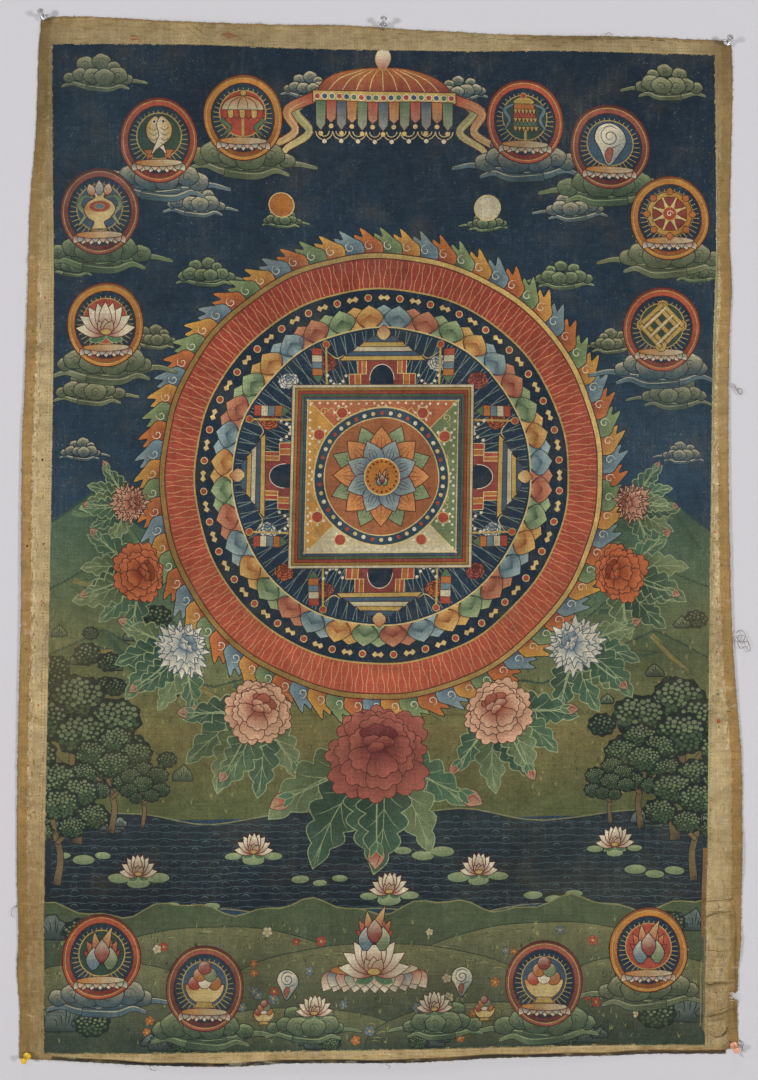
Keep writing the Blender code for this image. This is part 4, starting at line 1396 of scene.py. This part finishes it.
def dabs():
    # Spilt and tested colour on the margins
    for line, width in ((((130, 37), (134, 36.6), (138, 37)), 1.8), (((130, 40), (134, 40.4), (139, 39)),
            1.8), (((221, 36), (228, 35), (240, 38)), 3.2), (((226, 39), (234, 38)), 2.4)):
        mark(line, width, marginSet["redInk"], 3)
    for x, y, size in ((45.5, 298, 1.3), (42, 349, 1.2), (42, 601, 1.0), (42, 605, 0.8), (39, 705, 1.1),
            (40, 787, 0.9), (39, 863, 1.0), (37, 908, 1.2), (717, 345, 1.4), (714, 532, 1.0),
            (716, 598, 1.2), (716, 619, 1.0), (716, 652, 1.1), (718, 721, 2.2)):
        lay(disc(px(x, y), size, vary(0.7, 1.6), 9), marginSet["redInk"], bare=True)
    for x, y, size, colour in ((34, 812, 1.6, "#66704a"), (37, 718, 1.3, "#66704a"),
            (717, 694, 1.5, "#5f6c4a"), (714, 759, 1.2, "#b8973f"), (486.5, 43, 1.3, "#3a2f22"),
            (43, 460, 1.3, "#3a2f22"), (28, 546, 1.4, "#4a3a26"), (44, 544, 1.1, "#3a2f22"),
            (715.5, 992, 1.0, "#2e2619"), (706, 1002, 1.0, "#2e2619")):
        lay(disc(px(x, y), size, 1, 9), colour, bare=True)
    for spots in (((190, 22), (193, 27), (199, 31), (205, 37)), ((192, 21), (200, 24), (196, 30),
            (203, 33)), ((186, 28), (192, 33), (201, 39))):
        mark(spots, 0.9, "#6f5a39", 5)


picture = layers[:]
layers.clear()
for draw in (margins, priming, stitchHoles, dabs):
    draw()
marginLayers = layers[:]
print("margins drawn:", len(marginLayers), "shapes")

# The sheets. The cloth itself is one, and the paint film lies on it in three strips


def cutOutline():
    # The cut edge clockwise from the top left corner, with its tear and its lost corner
    step = clothSet["edgeStep"]

    def edge(u, v, way):
        spots = onPatch(clothEdges, u, v)
        loose = np.array([rnd.gauss(0, clothSet["fray"]) for _ in spots])
        loose[0] = loose[-1] = 0
        return spots + way * np.clip(loose, -1.1, 1.1)

    across, down = [np.linspace(0, 1, int((size - 20) / step)) for size in clothSet["about"]]
    top = edge(across, 0 * across, 1j)
    right = edge(1 + 0 * down, down, 1)
    bottom = edge(across[::-1], 1 + 0 * across, 1j)
    left = edge(0 * down, down[::-1], 1)
    tearTop, tear, tearFoot = edgeTear
    cornerTop, corner, cornerLeft = lostCorner
    return np.concatenate([
        top[:-1], right[right.imag > tearTop], [complex(*s) for s in tear],
        right[(right.imag < tearFoot) & (right.imag > cornerTop)], [complex(*s) for s in corner],
        bottom[bottom.real < cornerLeft], left[1:-1]])


def insideOutline(spots, outline):
    # True for each spot inside the outline, taken in level rows so that few edges count in each
    order = np.argsort(spots.imag)
    begins, ends = outline, np.roll(outline, -1)
    low, high = np.minimum(begins.imag, ends.imag), np.maximum(begins.imag, ends.imag)
    found = np.zeros(len(spots), bool)
    for k in range(0, len(spots), 500):
        row = order[k:k + 500]
        a, b = spots.real[row, None], spots.imag[row, None]
        near = (high >= b[0, 0]) & (low <= b[-1, 0])
        start, end = begins[near], ends[near]
        beyond = (end.real - start.real) * (b - start.imag) - (a - start.real) * (end.imag - start.imag)
        rising = (start.imag <= b) & (end.imag > b) & (beyond > 0)
        falling = (start.imag > b) & (end.imag <= b) & (beyond < 0)
        found[row] = rising.sum(1) != falling.sum(1)
    return found


def triangulate(spots, lines, near):
    # Triangles over the spots that keep the lines, which are pairs of spots
    made = delaunay_2d_cdt([Vector((z.real, z.imag)) for z in spots], lines, [], 0, near, True)
    places = np.array([v[:] for v in made[0]])
    corners = [(face[0], face[k], face[k + 1]) for face in made[2] for k in range(1, len(face) - 1)]
    return places[:, 0] + 1j * places[:, 1], np.array(corners), made[3]


def edgesOf(triangles):
    # Each edge once, the edge that every triangle's side is, and how often each comes
    pairs = np.concatenate([triangles[:, [0, 1]], triangles[:, [1, 2]], triangles[:, [2, 0]]])
    _, first, where, count = np.unique(
        np.sort(pairs, 1), axis=0, return_index=True, return_inverse=True, return_counts=True)
    return pairs[first], where.ravel(), count


def linesThatShow(places, triangles, owner):
    # The lines between two shapes, without those that a later shape covers, and with fewer
    # points where a line runs straight
    lines, where, count = edgesOf(triangles)
    low, high = np.full(len(lines), 1 << 30), np.full(len(lines), -9)
    np.minimum.at(low, where, np.tile(owner, 3))
    np.maximum.at(high, where, np.tile(owner, 3))
    beside = {}
    for a, b in lines[(low != high) | (count == 1)].tolist():
        beside.setdefault(a, []).append(b)
        beside.setdefault(b, []).append(a)
    spots = places.tolist()
    for k in list(beside):
        if len(beside[k]) != 2:
            continue
        a, b = beside[k]
        span = spots[b] - spots[a]
        off = abs(((spots[k] - spots[a]) * span.conjugate()).imag) / max(abs(span), 1e-9)
        if a == b or b in beside[a] or abs(span) > 7 or off > 0.04:
            continue
        beside[a][beside[a].index(k)] = b
        beside[b][beside[b].index(k)] = a
        del beside[k]
    kept = list(beside)
    number = {old: new for new, old in enumerate(kept)}
    return places[kept], [(number[a], number[b]) for a in kept for b in beside[a] if a < b]


def topmost(middles, shapes):
    # For each triangle, the last shape that holds its middle
    order = np.argsort(middles.imag)
    height = middles.imag[order]
    found = np.full(len(middles), -1)
    for k in range(len(shapes) - 1, -1, -1):
        outline = shapes[k][0]
        low, high = np.searchsorted(height, (outline.imag.min(), outline.imag.max()))
        near = order[low:high]
        near = near[found[near] < 0]
        x = middles.real[near]
        near = near[(x > outline.real.min()) & (x < outline.real.max())]
        if len(near):
            found[near[insideOutline(middles[near], outline)]] = k
    return found


def mixed(colours, second, share):
    share = np.clip(share, 0, 1)[..., None]
    return colours * (1 - share) + second * share


def stained(spots, stain):
    across, up, wide, tall, _, strength = stain
    away = ((spots.real - across) / wide) ** 2 + ((spots.imag - up) / tall) ** 2
    return strength * np.exp(-away)


def cornerColours(places, triangles, owner, shapes, stains):
    colours = np.empty((len(triangles), 3, 3))
    colours[:] = toLinear(marginSet["bareCotton"])
    order = np.argsort(owner, kind="stable")
    bounds = np.searchsorted(owner[order], np.arange(len(shapes) + 1))
    for k, (_, colour, fade) in enumerate(shapes):
        mine = order[bounds[k]:bounds[k + 1]]
        colours[mine] = colour
        if fade and len(mine):
            second, start, end = fade
            away = places[triangles[mine]] - start
            if isinstance(end, float):
                share = np.abs(away) / end
            else:
                share = (away * np.conj(end - start)).real / abs(end - start) ** 2
            colours[mine] = mixed(colours[mine], second, share)
    for stain in stains:
        colours = mixed(colours, np.array(toLinear(stain[4])), stained(places, stain)[triangles])
    # Painted shade along the creases darkens the colours
    return colours * (1 - creaseAt(places)[1][triangles])[..., None]


def backTints(spots):
    # Old cotton, with the field's darkness grown through it, and water stains
    inset = np.minimum(
        np.minimum(spots.real + 366, 359 - spots.real), np.minimum(-24 - spots.imag, spots.imag + 1119))
    colours = np.zeros((*spots.shape, 3)) + toLinear(sheetSet["cotton"])
    colours = mixed(colours, np.array(toLinear(sheetSet["grownThrough"])), inset / 14 * 0.5)
    for stain in backStains:
        colours = mixed(colours, np.array(toLinear(stain[4])), stained(spots, stain))
    return colours


def paintedSheet(name, outline, holes, shapes, stains, free, front, back):
    # One closed thin sheet: its front keeps every painted line that shows, its back is coarser.
    # front and back give the depths from the wall, and free the points that carry the folds.
    def trimmed(places, triangles):
        middles = places[triangles].mean(1)
        kept = insideOutline(middles, outline)
        for hole in holes:
            near = np.flatnonzero(np.abs(middles - hole.mean()) < sheetSet["nearHole"])
            kept[near] &= ~insideOutline(middles[near], hole)
        return triangles[kept], middles[kept]

    low, high = outline.imag.min(), outline.imag.max()
    shapes = [shape for shape in shapes if shape[0].imag.max() > low and shape[0].imag.min() < high]
    loops = [outline, *holes, *[shape[0] for shape in shapes]]
    starts = np.cumsum([0] + [len(loop) for loop in loops])
    lines = [(int(start) + k, int(start) + (k + 1) % len(loop)) for start,
        loop in zip(starts, loops) for k in range(len(loop))]
    places, triangles, _ = triangulate(np.concatenate(loops), lines, 0.02)
    triangles, middles = trimmed(places, triangles)
    drawn, lines = linesThatShow(places, triangles, topmost(middles, shapes))
    free = free[insideOutline(free, outline)]
    places, triangles, _ = triangulate(np.concatenate([drawn, free]), lines, 0.05)
    triangles, middles = trimmed(places, triangles)
    colours = cornerColours(places, triangles, topmost(middles, shapes), shapes, stains)

    # The back shares the edge, and has points only where the folds need them
    lines, _, count = edgesOf(triangles)
    rim = lines[count == 1]
    edge = np.unique(rim)
    where = {old: new for new, old in enumerate(edge.tolist())}
    across, down = sheetSet["backPoints"]
    coarse = onPatch(clothEdges, *[a.ravel() for a in np.meshgrid(
        np.linspace(0.012, 0.988, across), np.linspace(0.008, 0.992, down))])
    coarse = coarse[insideOutline(coarse, outline)]
    coarse = coarse[np.abs(coarse[:, None] - places[edge][None, :]).min(1) > sheetSet["backGap"]]
    hindPlaces, hind, olds = triangulate(
        np.concatenate([places[edge], coarse]), [(where[a], where[b]) for a, b in rim.tolist()], 0.001)
    hind = trimmed(hindPlaces, hind)[0][:, ::-1]
    matched = {edge[old]: new + len(places) for new,
        group in enumerate(olds) for old in group if old < len(edge)}
    sides = [(b, a, matched[a], matched[b]) for a, b in rim.tolist()]

    spots = np.concatenate([places, hindPlaces])
    depth = np.concatenate([front(places), back(hindPlaces)])
    mesh = bpy.data.meshes.new(name)
    faces = [*map(tuple, triangles.tolist()), *map(tuple, (hind + len(places)).tolist()), *sides]
    mesh.from_pydata(np.stack([spots.real, -depth, spots.imag], 1) * mm, [], faces)

    sideColours = np.zeros((len(sides) * 4, 3)) + toLinear(sheetSet["cutEdge"])
    values = np.concatenate(
        [colours.reshape(-1, 3), backTints(hindPlaces[hind]).reshape(-1, 3), sideColours])
    values = np.concatenate([values, np.ones((len(values), 1))], 1).astype(np.float32)
    mesh.color_attributes.new("pigment", "FLOAT_COLOR", "CORNER").data.foreach_set("color", values.ravel())

    # A flat map for the baked copy: the front large, the back small beside or above it
    corners = np.concatenate([triangles.ravel(), hind.ravel() + len(places), np.array(sides).ravel()])
    corner = complex(outline.real.min(), low) - 1 - 1j
    wide, tall = outline.real.max() - corner.real + 1, high - low + 2
    flat = (spots[corners] - corner) / max(wide, tall)
    hindPart = slice(len(triangles) * 3, len(triangles) * 3 + len(hind) * 3)
    beside = wide / tall + 0.005 if tall > wide else 1j * (tall / wide + 0.005)
    flat[hindPart] = flat[hindPart] * 0.42 + beside
    flatMap = mesh.uv_layers.new(name="OFBake")
    flatMap.data.foreach_set("uv", np.stack([flat.real, flat.imag], 1).astype(np.float32).ravel())

    smooth = np.arange(len(faces)) < len(faces) - len(sides)
    mesh.polygons.foreach_set("use_smooth", smooth)
    mesh.polygons.foreach_set("material_index", (np.arange(len(faces)) >= len(triangles)).astype(np.int32))
    mesh.update()
    print(name, "has", len(mesh.loops) - 2 * len(mesh.polygons), "triangles")
    return addObject(name, mesh)


def creasePoints():
    rows = []
    for rise, halfWidth, _, line in creases:
        line = curve([complex(*s) for s in line],
            max(2, int(abs(complex(*line[-1]) - complex(*line[0])) / 22)))
        side = np.gradient(line)
        side = 1j * side / np.abs(side)
        rows += [line + side * halfWidth * k for k in (-1.7, -0.85, -0.3, 0.3, 0.85, 1.7)]
    return np.concatenate(rows)


def foldPoints():
    step = clothSet["grid"]
    u, v = np.meshgrid(*[np.arange(0.5, size / step) * step / size for size in clothSet["about"]])
    return np.concatenate([onPatch(clothEdges, u.ravel(), v.ravel()), creasePoints()])


sheetSet = {
    "nearHole": 14.0,  # mm from a pinhole's middle, as far as its outline is tested
    "backPoints": (46, 66),  # across and down the back
    "backGap": 3.0,  # mm that they keep from the edge
    "underPaint": 0.35,  # mm from the folds' own depth to the cloth's front under the film
    "filmBack": 0.45,
    "filmRise": 0.06,
    "cotton": "#a28c60",
    "grownThrough": "#74684c",
    "cutEdge": "#846f45",
}


clothOutline = cutOutline()


def clothAndPaint():
    free = foldPoints()
    whole = ontoField(band(0, -fieldHeight))
    ground = grown(whole, -0.9)
    layersBelow = [*marginLayers, *[(edge, tint(paintSet["ground"], 0), None) for edge in (whole, ground)]]

    def inner(spots):
        return clothSet["clearance"] + standOff(spots)

    def outer(spots):
        return inner(spots) + clothSet["thickness"] + creaseAt(spots)[0]

    def clothFront(spots):
        # Under the paint film the cloth lies a little deeper
        under = insideOutline(spots, grown(whole, -0.8))
        return np.where(under, inner(spots) + sheetSet["underPaint"], outer(spots))

    def clothBack(spots):
        return inner(spots) + np.clip(creaseAt(spots)[0] * 0.5, -0.15, 0.2)

    cloth = paintedSheet("painted_cloth", clothOutline, list(pinholes()), layersBelow, marginStains, free,
        clothFront, clothBack)
    films = []
    for k, part in enumerate(("upper", "middle", "lower")):
        strip = ontoField(band(-fieldHeight * k / 3, -fieldHeight * (k + 1) / 3))
        films.append(paintedSheet("paint_film_" + part, strip, [], picture, pictureStains, free,
            lambda spots: outer(spots) + sheetSet["filmRise"],
            lambda spots: inner(spots) + sheetSet["filmBack"]))
    return cloth, films


def pinholes():
    for _, across, up, right, high, _, _ in pins:
        shift = complex(math.tan(math.radians(right)), math.tan(math.radians(high))) * 0.9
        yield disc(complex(across, up) + shift, 0.95, 1, 12)


paintSet = {
    "threadPitch": 0.55,  # mm, plain weave
    "slubPitch": 2.6,  # mm: the groups of threads that show from where the camera stands
    "speckle": 1.7,  # mm, drawn coarser than the 0.05 mm grain of the ground pigment
    "rub": (3.0, 34.0),  # mm, scuffs from unrolling run up and down
    "crack": (13.0, 8.0),  # mm, wider than tall: the cracks run across the roll
    "ground": "#8f8d79",
    "size": "#6b5f3d",  # glue gone brown
    "dust": "#8d8f88",
    "soil": "#80693e",  # damp and handling on the margins
    "chalk": "#b9ae90",
}


def clothCoordinates(material):
    # Turns object metres to one unit every so many mm across and up, and gives the weave
    place = addNode(material, "TexCoord").outputs["Object"]

    def mapped(wide, tall):
        scale = (1000 / wide, 1000 / wide, 1000 / tall)
        return addNode(material, "Mapping", {"Vector": place, "Scale": scale}).outputs[0]

    def ranged(value, low, high, to):
        return addNode(material, "MapRange", {
            "Value": value, "From Min": low, "From Max": high, "To Min": to[0], "To Max": to[1]}).outputs[0]

    def noise(wide, tall, detail, low, high, to):
        made = addNode(material, "TexNoise", {
            "Vector": mapped(wide, tall), "Scale": 1.0, "Detail": detail, "Roughness": 0.6})
        return ranged(made.outputs["Fac"], low, high, to)

    def times(first, *others, operation="MULTIPLY"):
        for other in others:
            first = addNode(material, "Math", {0: first, 1: other}, operation=operation).outputs[0]
        return first

    apart = addNode(material, "SeparateXYZ", {0: place})
    turn = math.pi * 1000 / paintSet["threadPitch"]
    waves = [addNode(material, "Math", {0: times(apart.outputs[axis], turn)},
        operation="SINE").outputs[0] for axis in ("X", "Z")]
    pigment = addNode(material, "VertexColor", layer_name="pigment").outputs["Color"]
    return mapped, ranged, noise, times, times(*waves), pigment


def distemperOnCotton():
    # Cotton primed with chalk and glue, painted in matt distemper: dry, chalky colour with no
    # gloss, worn thin over the threads, finely cracked across the roll, with soot in the hollows
    made = newMaterial("distemper_painted_cotton")
    mapped, ranged, noise, times, weave, pigment = clothCoordinates(made)
    fine, slub = paintSet["speckle"], paintSet["slubPitch"]
    blotch = noise(16, 19, 4, 0.3, 0.7, (0.84, 1.15))
    speckle = noise(fine, fine, 2, 0.28, 0.72, (0.78, 1.22))
    tone = times(noise(110, 130, 5, 0.3, 0.7, (0.80, 1.18)), blotch, speckle, noise(slub, 60, 2, 0.3, 0.7,
        (0.92, 1.08)), noise(36, 1.8, 2, 0.3, 0.7, (0.88, 1.12)))
    patch = noise(55, 60, 3, 0.42, 0.66, (0.12, 1))
    rubs = times(noise(*paintSet["rub"], 4, 0.52, 0.76, (0, 0.10)), patch)
    lost = times(noise(2.4, 2.1, 3, 0.64, 0.69, (0, 0.42)), patch)
    shown = blend(made, times(rubs, lost, operation="MAXIMUM"), pigment, shade(paintSet["ground"]))
    shown = blend(made, noise(60, 48, 4, 0.5, 0.72, (0, 0.15)), shown, shade(paintSet["size"]))
    shown = blend(made, noise(9, 7, 5, 0.55, 0.8, (0, 0.07)), shown, shade(paintSet["dust"]))
    cell = addNode(made, "TexVoronoi", {"Vector": mapped(*paintSet["crack"]), "Scale": 1.0},
        feature="DISTANCE_TO_EDGE").outputs["Distance"]
    crack = ranged(cell, 0.0, 0.06, (0.86, 1.0))
    specks = noise(1.5, 1.5, 2, 0.66, 0.72, (1, 0.6))
    shown = addNode(made, "VectorMath", {0: shown, 3: times(tone, crack, specks)},
        operation="SCALE").outputs[0]
    relief = times(times(weave, 0.05), blotch, times(crack, 0.4), times(speckle, 0.5), operation="ADD")
    bump = addNode(made, "Bump", {"Height": relief, "Strength": 0.35, "Distance": 0.0006}).outputs[0]
    return finished(made, {"Base Color": shown, "Roughness": noise(30, 30, 3, 0.3, 0.7, (0.86, 0.95)),
        "Normal": bump, "Specular IOR Level": 0.25})


def wornCotton(name, spread):
    # Old plain-woven cotton, sized and never washed: dull brown, blotched with damp and handling,
    # its threads in low relief
    made = newMaterial(name)
    _, _, noise, times, weave, pigment = clothCoordinates(made)
    slub = noise(2.2, 40, 3, 0.3, 0.7, (0.9, 1.1))
    tone = times(
        noise(90, 70, 4, 0.3, 0.7, (1 - spread, 1 + spread * 0.8)), slub,
        noise(12, 11, 5, 0.3, 0.7, (1 - spread * 0.9, 1 + spread * 0.7)),
        noise(40, 2.2, 3, 0.3, 0.7, (0.9, 1.1)), noise(1.6, 1.6, 3, 0.3, 0.7, (0.84, 1.14)),
        noise(2.0, 1.4, 3, 0.62, 0.70, (1, 0.62)), noise(26, 5, 4, 0.6, 0.7, (1, 0.78)))
    shown = blend(made, noise(34, 17, 5, 0.5, 0.66, (0, 0.5)), pigment, shade(paintSet["soil"]))
    shown = blend(made, noise(19, 9, 4, 0.6, 0.68, (0, 0.32)), shown, shade(paintSet["chalk"]))
    shown = addNode(made, "VectorMath", {0: shown, 3: tone}, operation="SCALE").outputs[0]
    relief = times(times(weave, 0.2), slub, operation="ADD")
    bump = addNode(made, "Bump", {"Height": relief, "Strength": 0.5, "Distance": 0.0006}).outputs[0]
    return finished(made, {"Base Color": shown, "Roughness": 0.93, "Normal": bump,
        "Specular IOR Level": 0.2, "Sheen Weight": 0.12, "Sheen Roughness": 0.6})


cloth, films = clothAndPaint()
paint, cotton = distemperOnCotton(), wornCotton("bare_woven_cotton", 0.24)
cloth.data.materials.append(wornCotton("chalk_primed_cotton", 0.18))
cloth.data.materials.append(cotton)
for film in films:
    film.data.materials.append(paint)
    film.data.materials.append(paint)
print("cloth and paint made")


# Loose threads


threadSet = {
    "radius": 0.2,  # mm, one cotton thread
    "strand": 0.34,  # mm, a few threads twisted
    "every": 1.5,  # mm between the cut ends along the edge
    "length": (0.6, 2.6),
    "brown": "#6b5532",
    "pale": "#cfc6b4",
}
# Threads that have worked loose, as spots of the photograph's frame, and how pale they are
looseThreads = [([(730, 384), (733, 385), (735, 388), (737, 390), (738, 393)], 0),
    ([(736, 390), (739, 389), (741, 391), (740, 395), (738, 394)], 0),
    ([(731, 386), (734, 388), (737, 393), (740, 394), (742, 392)], 0),
    ([(735, 633), (739, 630), (744, 634), (742, 641), (737, 640), (738, 635), (745, 637), (748, 645)], 0),
    ([(735, 636), (740, 643), (746, 641), (749, 649), (744, 652)], 0),
    ([(736, 640), (739, 648), (745, 646), (747, 650)], 0), ([(603, 39), (606, 35), (609, 34), (612, 37)],
    0), ([(384, 1057), (386, 1061), (390, 1063), (388, 1066)], 0),
    ([(739, 1040), (743, 1043), (741, 1048), (745, 1052)], 0),
    ([(738, 1044), (742, 1047), (740, 1053), (743, 1057)], 0),
    ([(728, 993), (732, 991.5), (735, 994), (738, 993)], 1),
    ([(727.5, 996), (731, 997), (735, 995), (739, 998)], 1),
    ([(728, 999), (732, 1000), (736, 998), (738.5, 1000)], 1),
    ([(729, 994), (733, 995), (737, 999), (735, 1001)], 1), ([(28, 640), (24, 643), (22, 648)], 0),
    ([(17, 905), (13, 908), (12, 914), (15, 917)], 0), ([(32, 255), (28, 258), (27, 263)], 0),
    ([(150, 1064), (152, 1068), (157, 1069)], 0),]


def threadTube(points, radius, sides, taper):
    # Corners and faces of one thread along 3-D points, closed at both ends
    points = np.array(points, float)
    way = np.gradient(points, axis=0)
    way /= np.linalg.norm(way, axis=1)[:, None]
    side = np.cross(way, (0.3, 0.9, 0.2))
    side /= np.linalg.norm(side, axis=1)[:, None]
    other = np.cross(way, side)
    a = np.linspace(0, 2 * np.pi, sides, endpoint=False)
    size = radius * np.linspace(1, taper, len(points))[:, None, None]
    ring = points[:, None] + size * (
        np.cos(a)[None, :, None] * side[:, None] + np.sin(a)[None, :, None] * other[:, None])
    faces = [(i * sides + k, i * sides + (k + 1) % sides, (i + 1) * sides + (k + 1) % sides,
        (i + 1) * sides + k) for i in range(len(points) - 1) for k in range(sides)]
    return ring.reshape(-1, 3), faces + [tuple(range(sides))[::-1],
        tuple(range((len(points) - 1) * sides, len(points) * sides))]


def threads():
    corners, faces, pale = [], [], []

    def add(points, radius, sides, taper, light):
        start = sum(len(c) for c in corners)
        made, loops = threadTube(points, radius, sides, taper)
        corners.append(made)
        faces.extend(tuple(start + k for k in loop) for loop in loops)
        pale.extend([light] * len(loops))

    outline = clothOutline
    along = np.cumsum(np.abs(np.diff(outline, append=outline[:1])))
    out = np.roll(outline, -1) - np.roll(outline, 1)
    out = 1j * out / np.abs(out)  # the outline runs clockwise
    base = clothSet["clearance"] + standOff(outline) + 0.5
    spot = 0.0
    while spot < along[-1]:
        k = min(int(np.searchsorted(along, spot)), len(outline) - 1)
        spot += threadSet["every"] * vary(0.35, 1.8)
        length = vary(*threadSet["length"]) * choose((0.5, 0.7, 1))
        way = out[k] * cmath.exp(1j * vary(-0.9, 0.9))
        end = outline[k] + way * length
        bend = outline[k] + way * length * 0.5 + out[k] * vary(-0.3, 0.3)
        start = outline[k] - out[k] * 0.6
        lift = vary(-0.25, 0.25)
        depth = max(base[k], 0.4)
        add([(start.real, -depth, start.imag), (bend.real, -depth + lift, bend.imag),
             (end.real, -max(depth - 2 * lift, 0.3), end.imag)], threadSet["radius"] * 0.8, 3, 0.35, 0)
    for line, light in looseThreads:
        line = curve([px(*s) for s in line], 6)
        depth = clothSet["clearance"] + standOff(line[:1])[0] + 0.6
        rise = depth + 0.9 * np.sin(np.linspace(0, 2.8, len(line)))
        add(np.stack([line.real, -rise, line.imag], 1), threadSet["strand"], 6, 0.6, light)
    mesh = bpy.data.meshes.new("frayed_threads")
    mesh.from_pydata(np.concatenate(corners) * mm, [], faces)
    mesh.polygons.foreach_set("material_index", pale)
    mesh.polygons.foreach_set("use_smooth", [True] * len(faces))
    for name, key in (("spun_cotton_brown", "brown"), ("spun_cotton_pale", "pale")):
        mesh.materials.append(threadCotton(name, threadSet[key]))
    mesh.update()
    return addObject("frayed_threads", mesh)


def threadCotton(name, colour):
    # Spun cotton, soiled: matt and soft, lighter and darker along its twist
    made, grain, tone = grained(name, 700.0, 3.0, shade(colour, 0.6), shade(colour, 1.25))
    bump = addNode(made, "Bump", {"Height": grain, "Strength": 0.4, "Distance": 0.0002}).outputs[0]
    return finished(made, {"Base Color": tone, "Roughness": 0.95, "Normal": bump,
        "Specular IOR Level": 0.15, "Sheen Weight": 0.3})


loose = threads()
print("threads made")

# Push pins


pinSet = {
    "sides": 48,
    "needleRadius": 0.6,
    "needleLength": 11.0,  # mm below the head
    "needlePoint": 3.0,
    "seat": 6.8,  # mm of needle inside the head
    # The head's outer side from the top down, as radius and height above its underside in mm
    "profile": [
        (0, 10.6), (1.6, 10.58), (2.6, 10.46), (3.25, 10.2), (3.56, 9.75), (3.55, 9.3), (3.3, 8.75),
        (2.8, 8.15), (2.38, 7.5), (2.15, 6.8), (2.02, 5.9), (2.0, 5.0), (2.1, 4.1), (2.35, 3.25),
        (2.85, 2.4), (3.5, 1.95), (4.05, 1.68), (4.3, 1.4), (4.36, 1.0), (4.33, 0.5), (4.15, 0.12),
        (3.9, 0.0)],
    "clear": "#f4f6f9", "yellow": "#e9bd1e", "salmon": "#e9a483",
}


def turnedPiece(name, profile, sides, pin, finish):
    # A lathe-turned or moulded round piece on the pin's own axis, out of the wall
    _, across, up, right, high, proud, _ = pin
    out = Vector((math.tan(math.radians(right)), -1, math.tan(math.radians(high)))).normalized()
    turned = out.to_track_quat("Z", "Y").to_matrix().to_4x4()
    place = Matrix.Translation(Vector((across, 0, up)) * mm) @ turned
    shape = bmesh.new()
    points = [shape.verts.new((r * mm, 0, (z + proud) * mm)) for r, z in profile]
    edges = [shape.edges.new(pair) for pair in zip(points, points[1:])]
    bmesh.ops.spin(shape, geom=points + edges, axis=(0, 0, 1), angle=2 * math.pi, steps=sides,
        use_merge=True)
    bmesh.ops.remove_doubles(shape, verts=shape.verts, dist=1e-6)
    bmesh.ops.recalc_face_normals(shape, faces=shape.faces)
    bmesh.ops.transform(shape, matrix=place, verts=shape.verts)
    mesh = bpy.data.meshes.new(name)
    shape.to_mesh(mesh)
    shape.free()
    mesh.polygons.foreach_set("use_smooth", [True] * len(mesh.polygons))
    mesh.materials.append(finish)
    made = addObject(name, mesh)
    crisp = made.modifiers.new("crisp edges", "EDGE_SPLIT")
    crisp.split_angle = math.radians(50)
    return made


def mouldedPlastic(name, colour, clear):
    # Injection-moulded polystyrene: smooth and glossy, with faint flow marks and handling scuffs.
    # The clear one bends what lies behind it, the coloured ones glow a little at thin edges.
    made, flow, tone = grained(name, 350.0, 2.0, shade(colour, 0.86), shade(colour))
    gloss = addNode(made, "MapRange", {
        "Value": flow, "From Min": 0.3, "From Max": 0.7,
        "To Min": 0.06 if clear else 0.2, "To Max": 0.14 if clear else 0.32}).outputs[0]
    bump = addNode(made, "Bump", {"Height": flow, "Strength": 0.1, "Distance": 0.0002}).outputs[0]
    return finished(made, {
        "Base Color": tone, "Roughness": gloss, "Normal": bump, "IOR": 1.59,
        "Transmission Weight": 0.92 if clear else 0.0, "Subsurface Weight": 0.0 if clear else 0.15,
        "Subsurface Scale": 0.002})


def drawnSteel():
    # Nickel-plated steel wire, drawn and ground: bright, with fine marks round the needle
    made, marks, tone = grained("nickel_plated_steel", 2400.0, 2.0, shade("#a9a7a3"), shade("#c9c7c2"))
    gloss = addNode(made, "MapRange", {"Value": marks, "To Min": 0.2, "To Max": 0.38}).outputs[0]
    return finished(made, {"Base Color": tone, "Metallic": 1.0, "Roughness": gloss})


def pushPins():
    plastics = {key + "_plastic": mouldedPlastic("moulded_polystyrene_" + key, pinSet[key],
        key == "clear") for key in ("clear", "yellow", "salmon")}
    steel = drawnSteel()
    bore, seatDepth = pinSet["needleRadius"] + 0.3, pinSet["seat"]
    top = seatDepth - 0.3
    needle = [(0, top), (0.45, top), (0.6, top - 0.15),
        (0.6, pinSet["needlePoint"] - pinSet["needleLength"]), (0.3, 1.2 - pinSet["needleLength"]),
        (0, -pinSet["needleLength"])]
    for pin in pins:
        head = turnedPiece("head_" + pin[0], pinSet["profile"] + [(bore, 0), (bore, seatDepth),
            (0, seatDepth)], pinSet["sides"], pin, plastics[pin[6]])
        point = turnedPiece("needle_" + pin[0], needle, 20, pin, steel)
        for piece, node, slot in ((head, "pin_head_", pin[6]), (point, "pin_needle_", "steel")):
            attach(piece, "root")
            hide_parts(node + pin[0])


pushPins()
print("pins made")

for piece in (cloth, loose, *films):
    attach(piece, "root")
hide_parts("painting_cloth")
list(films)
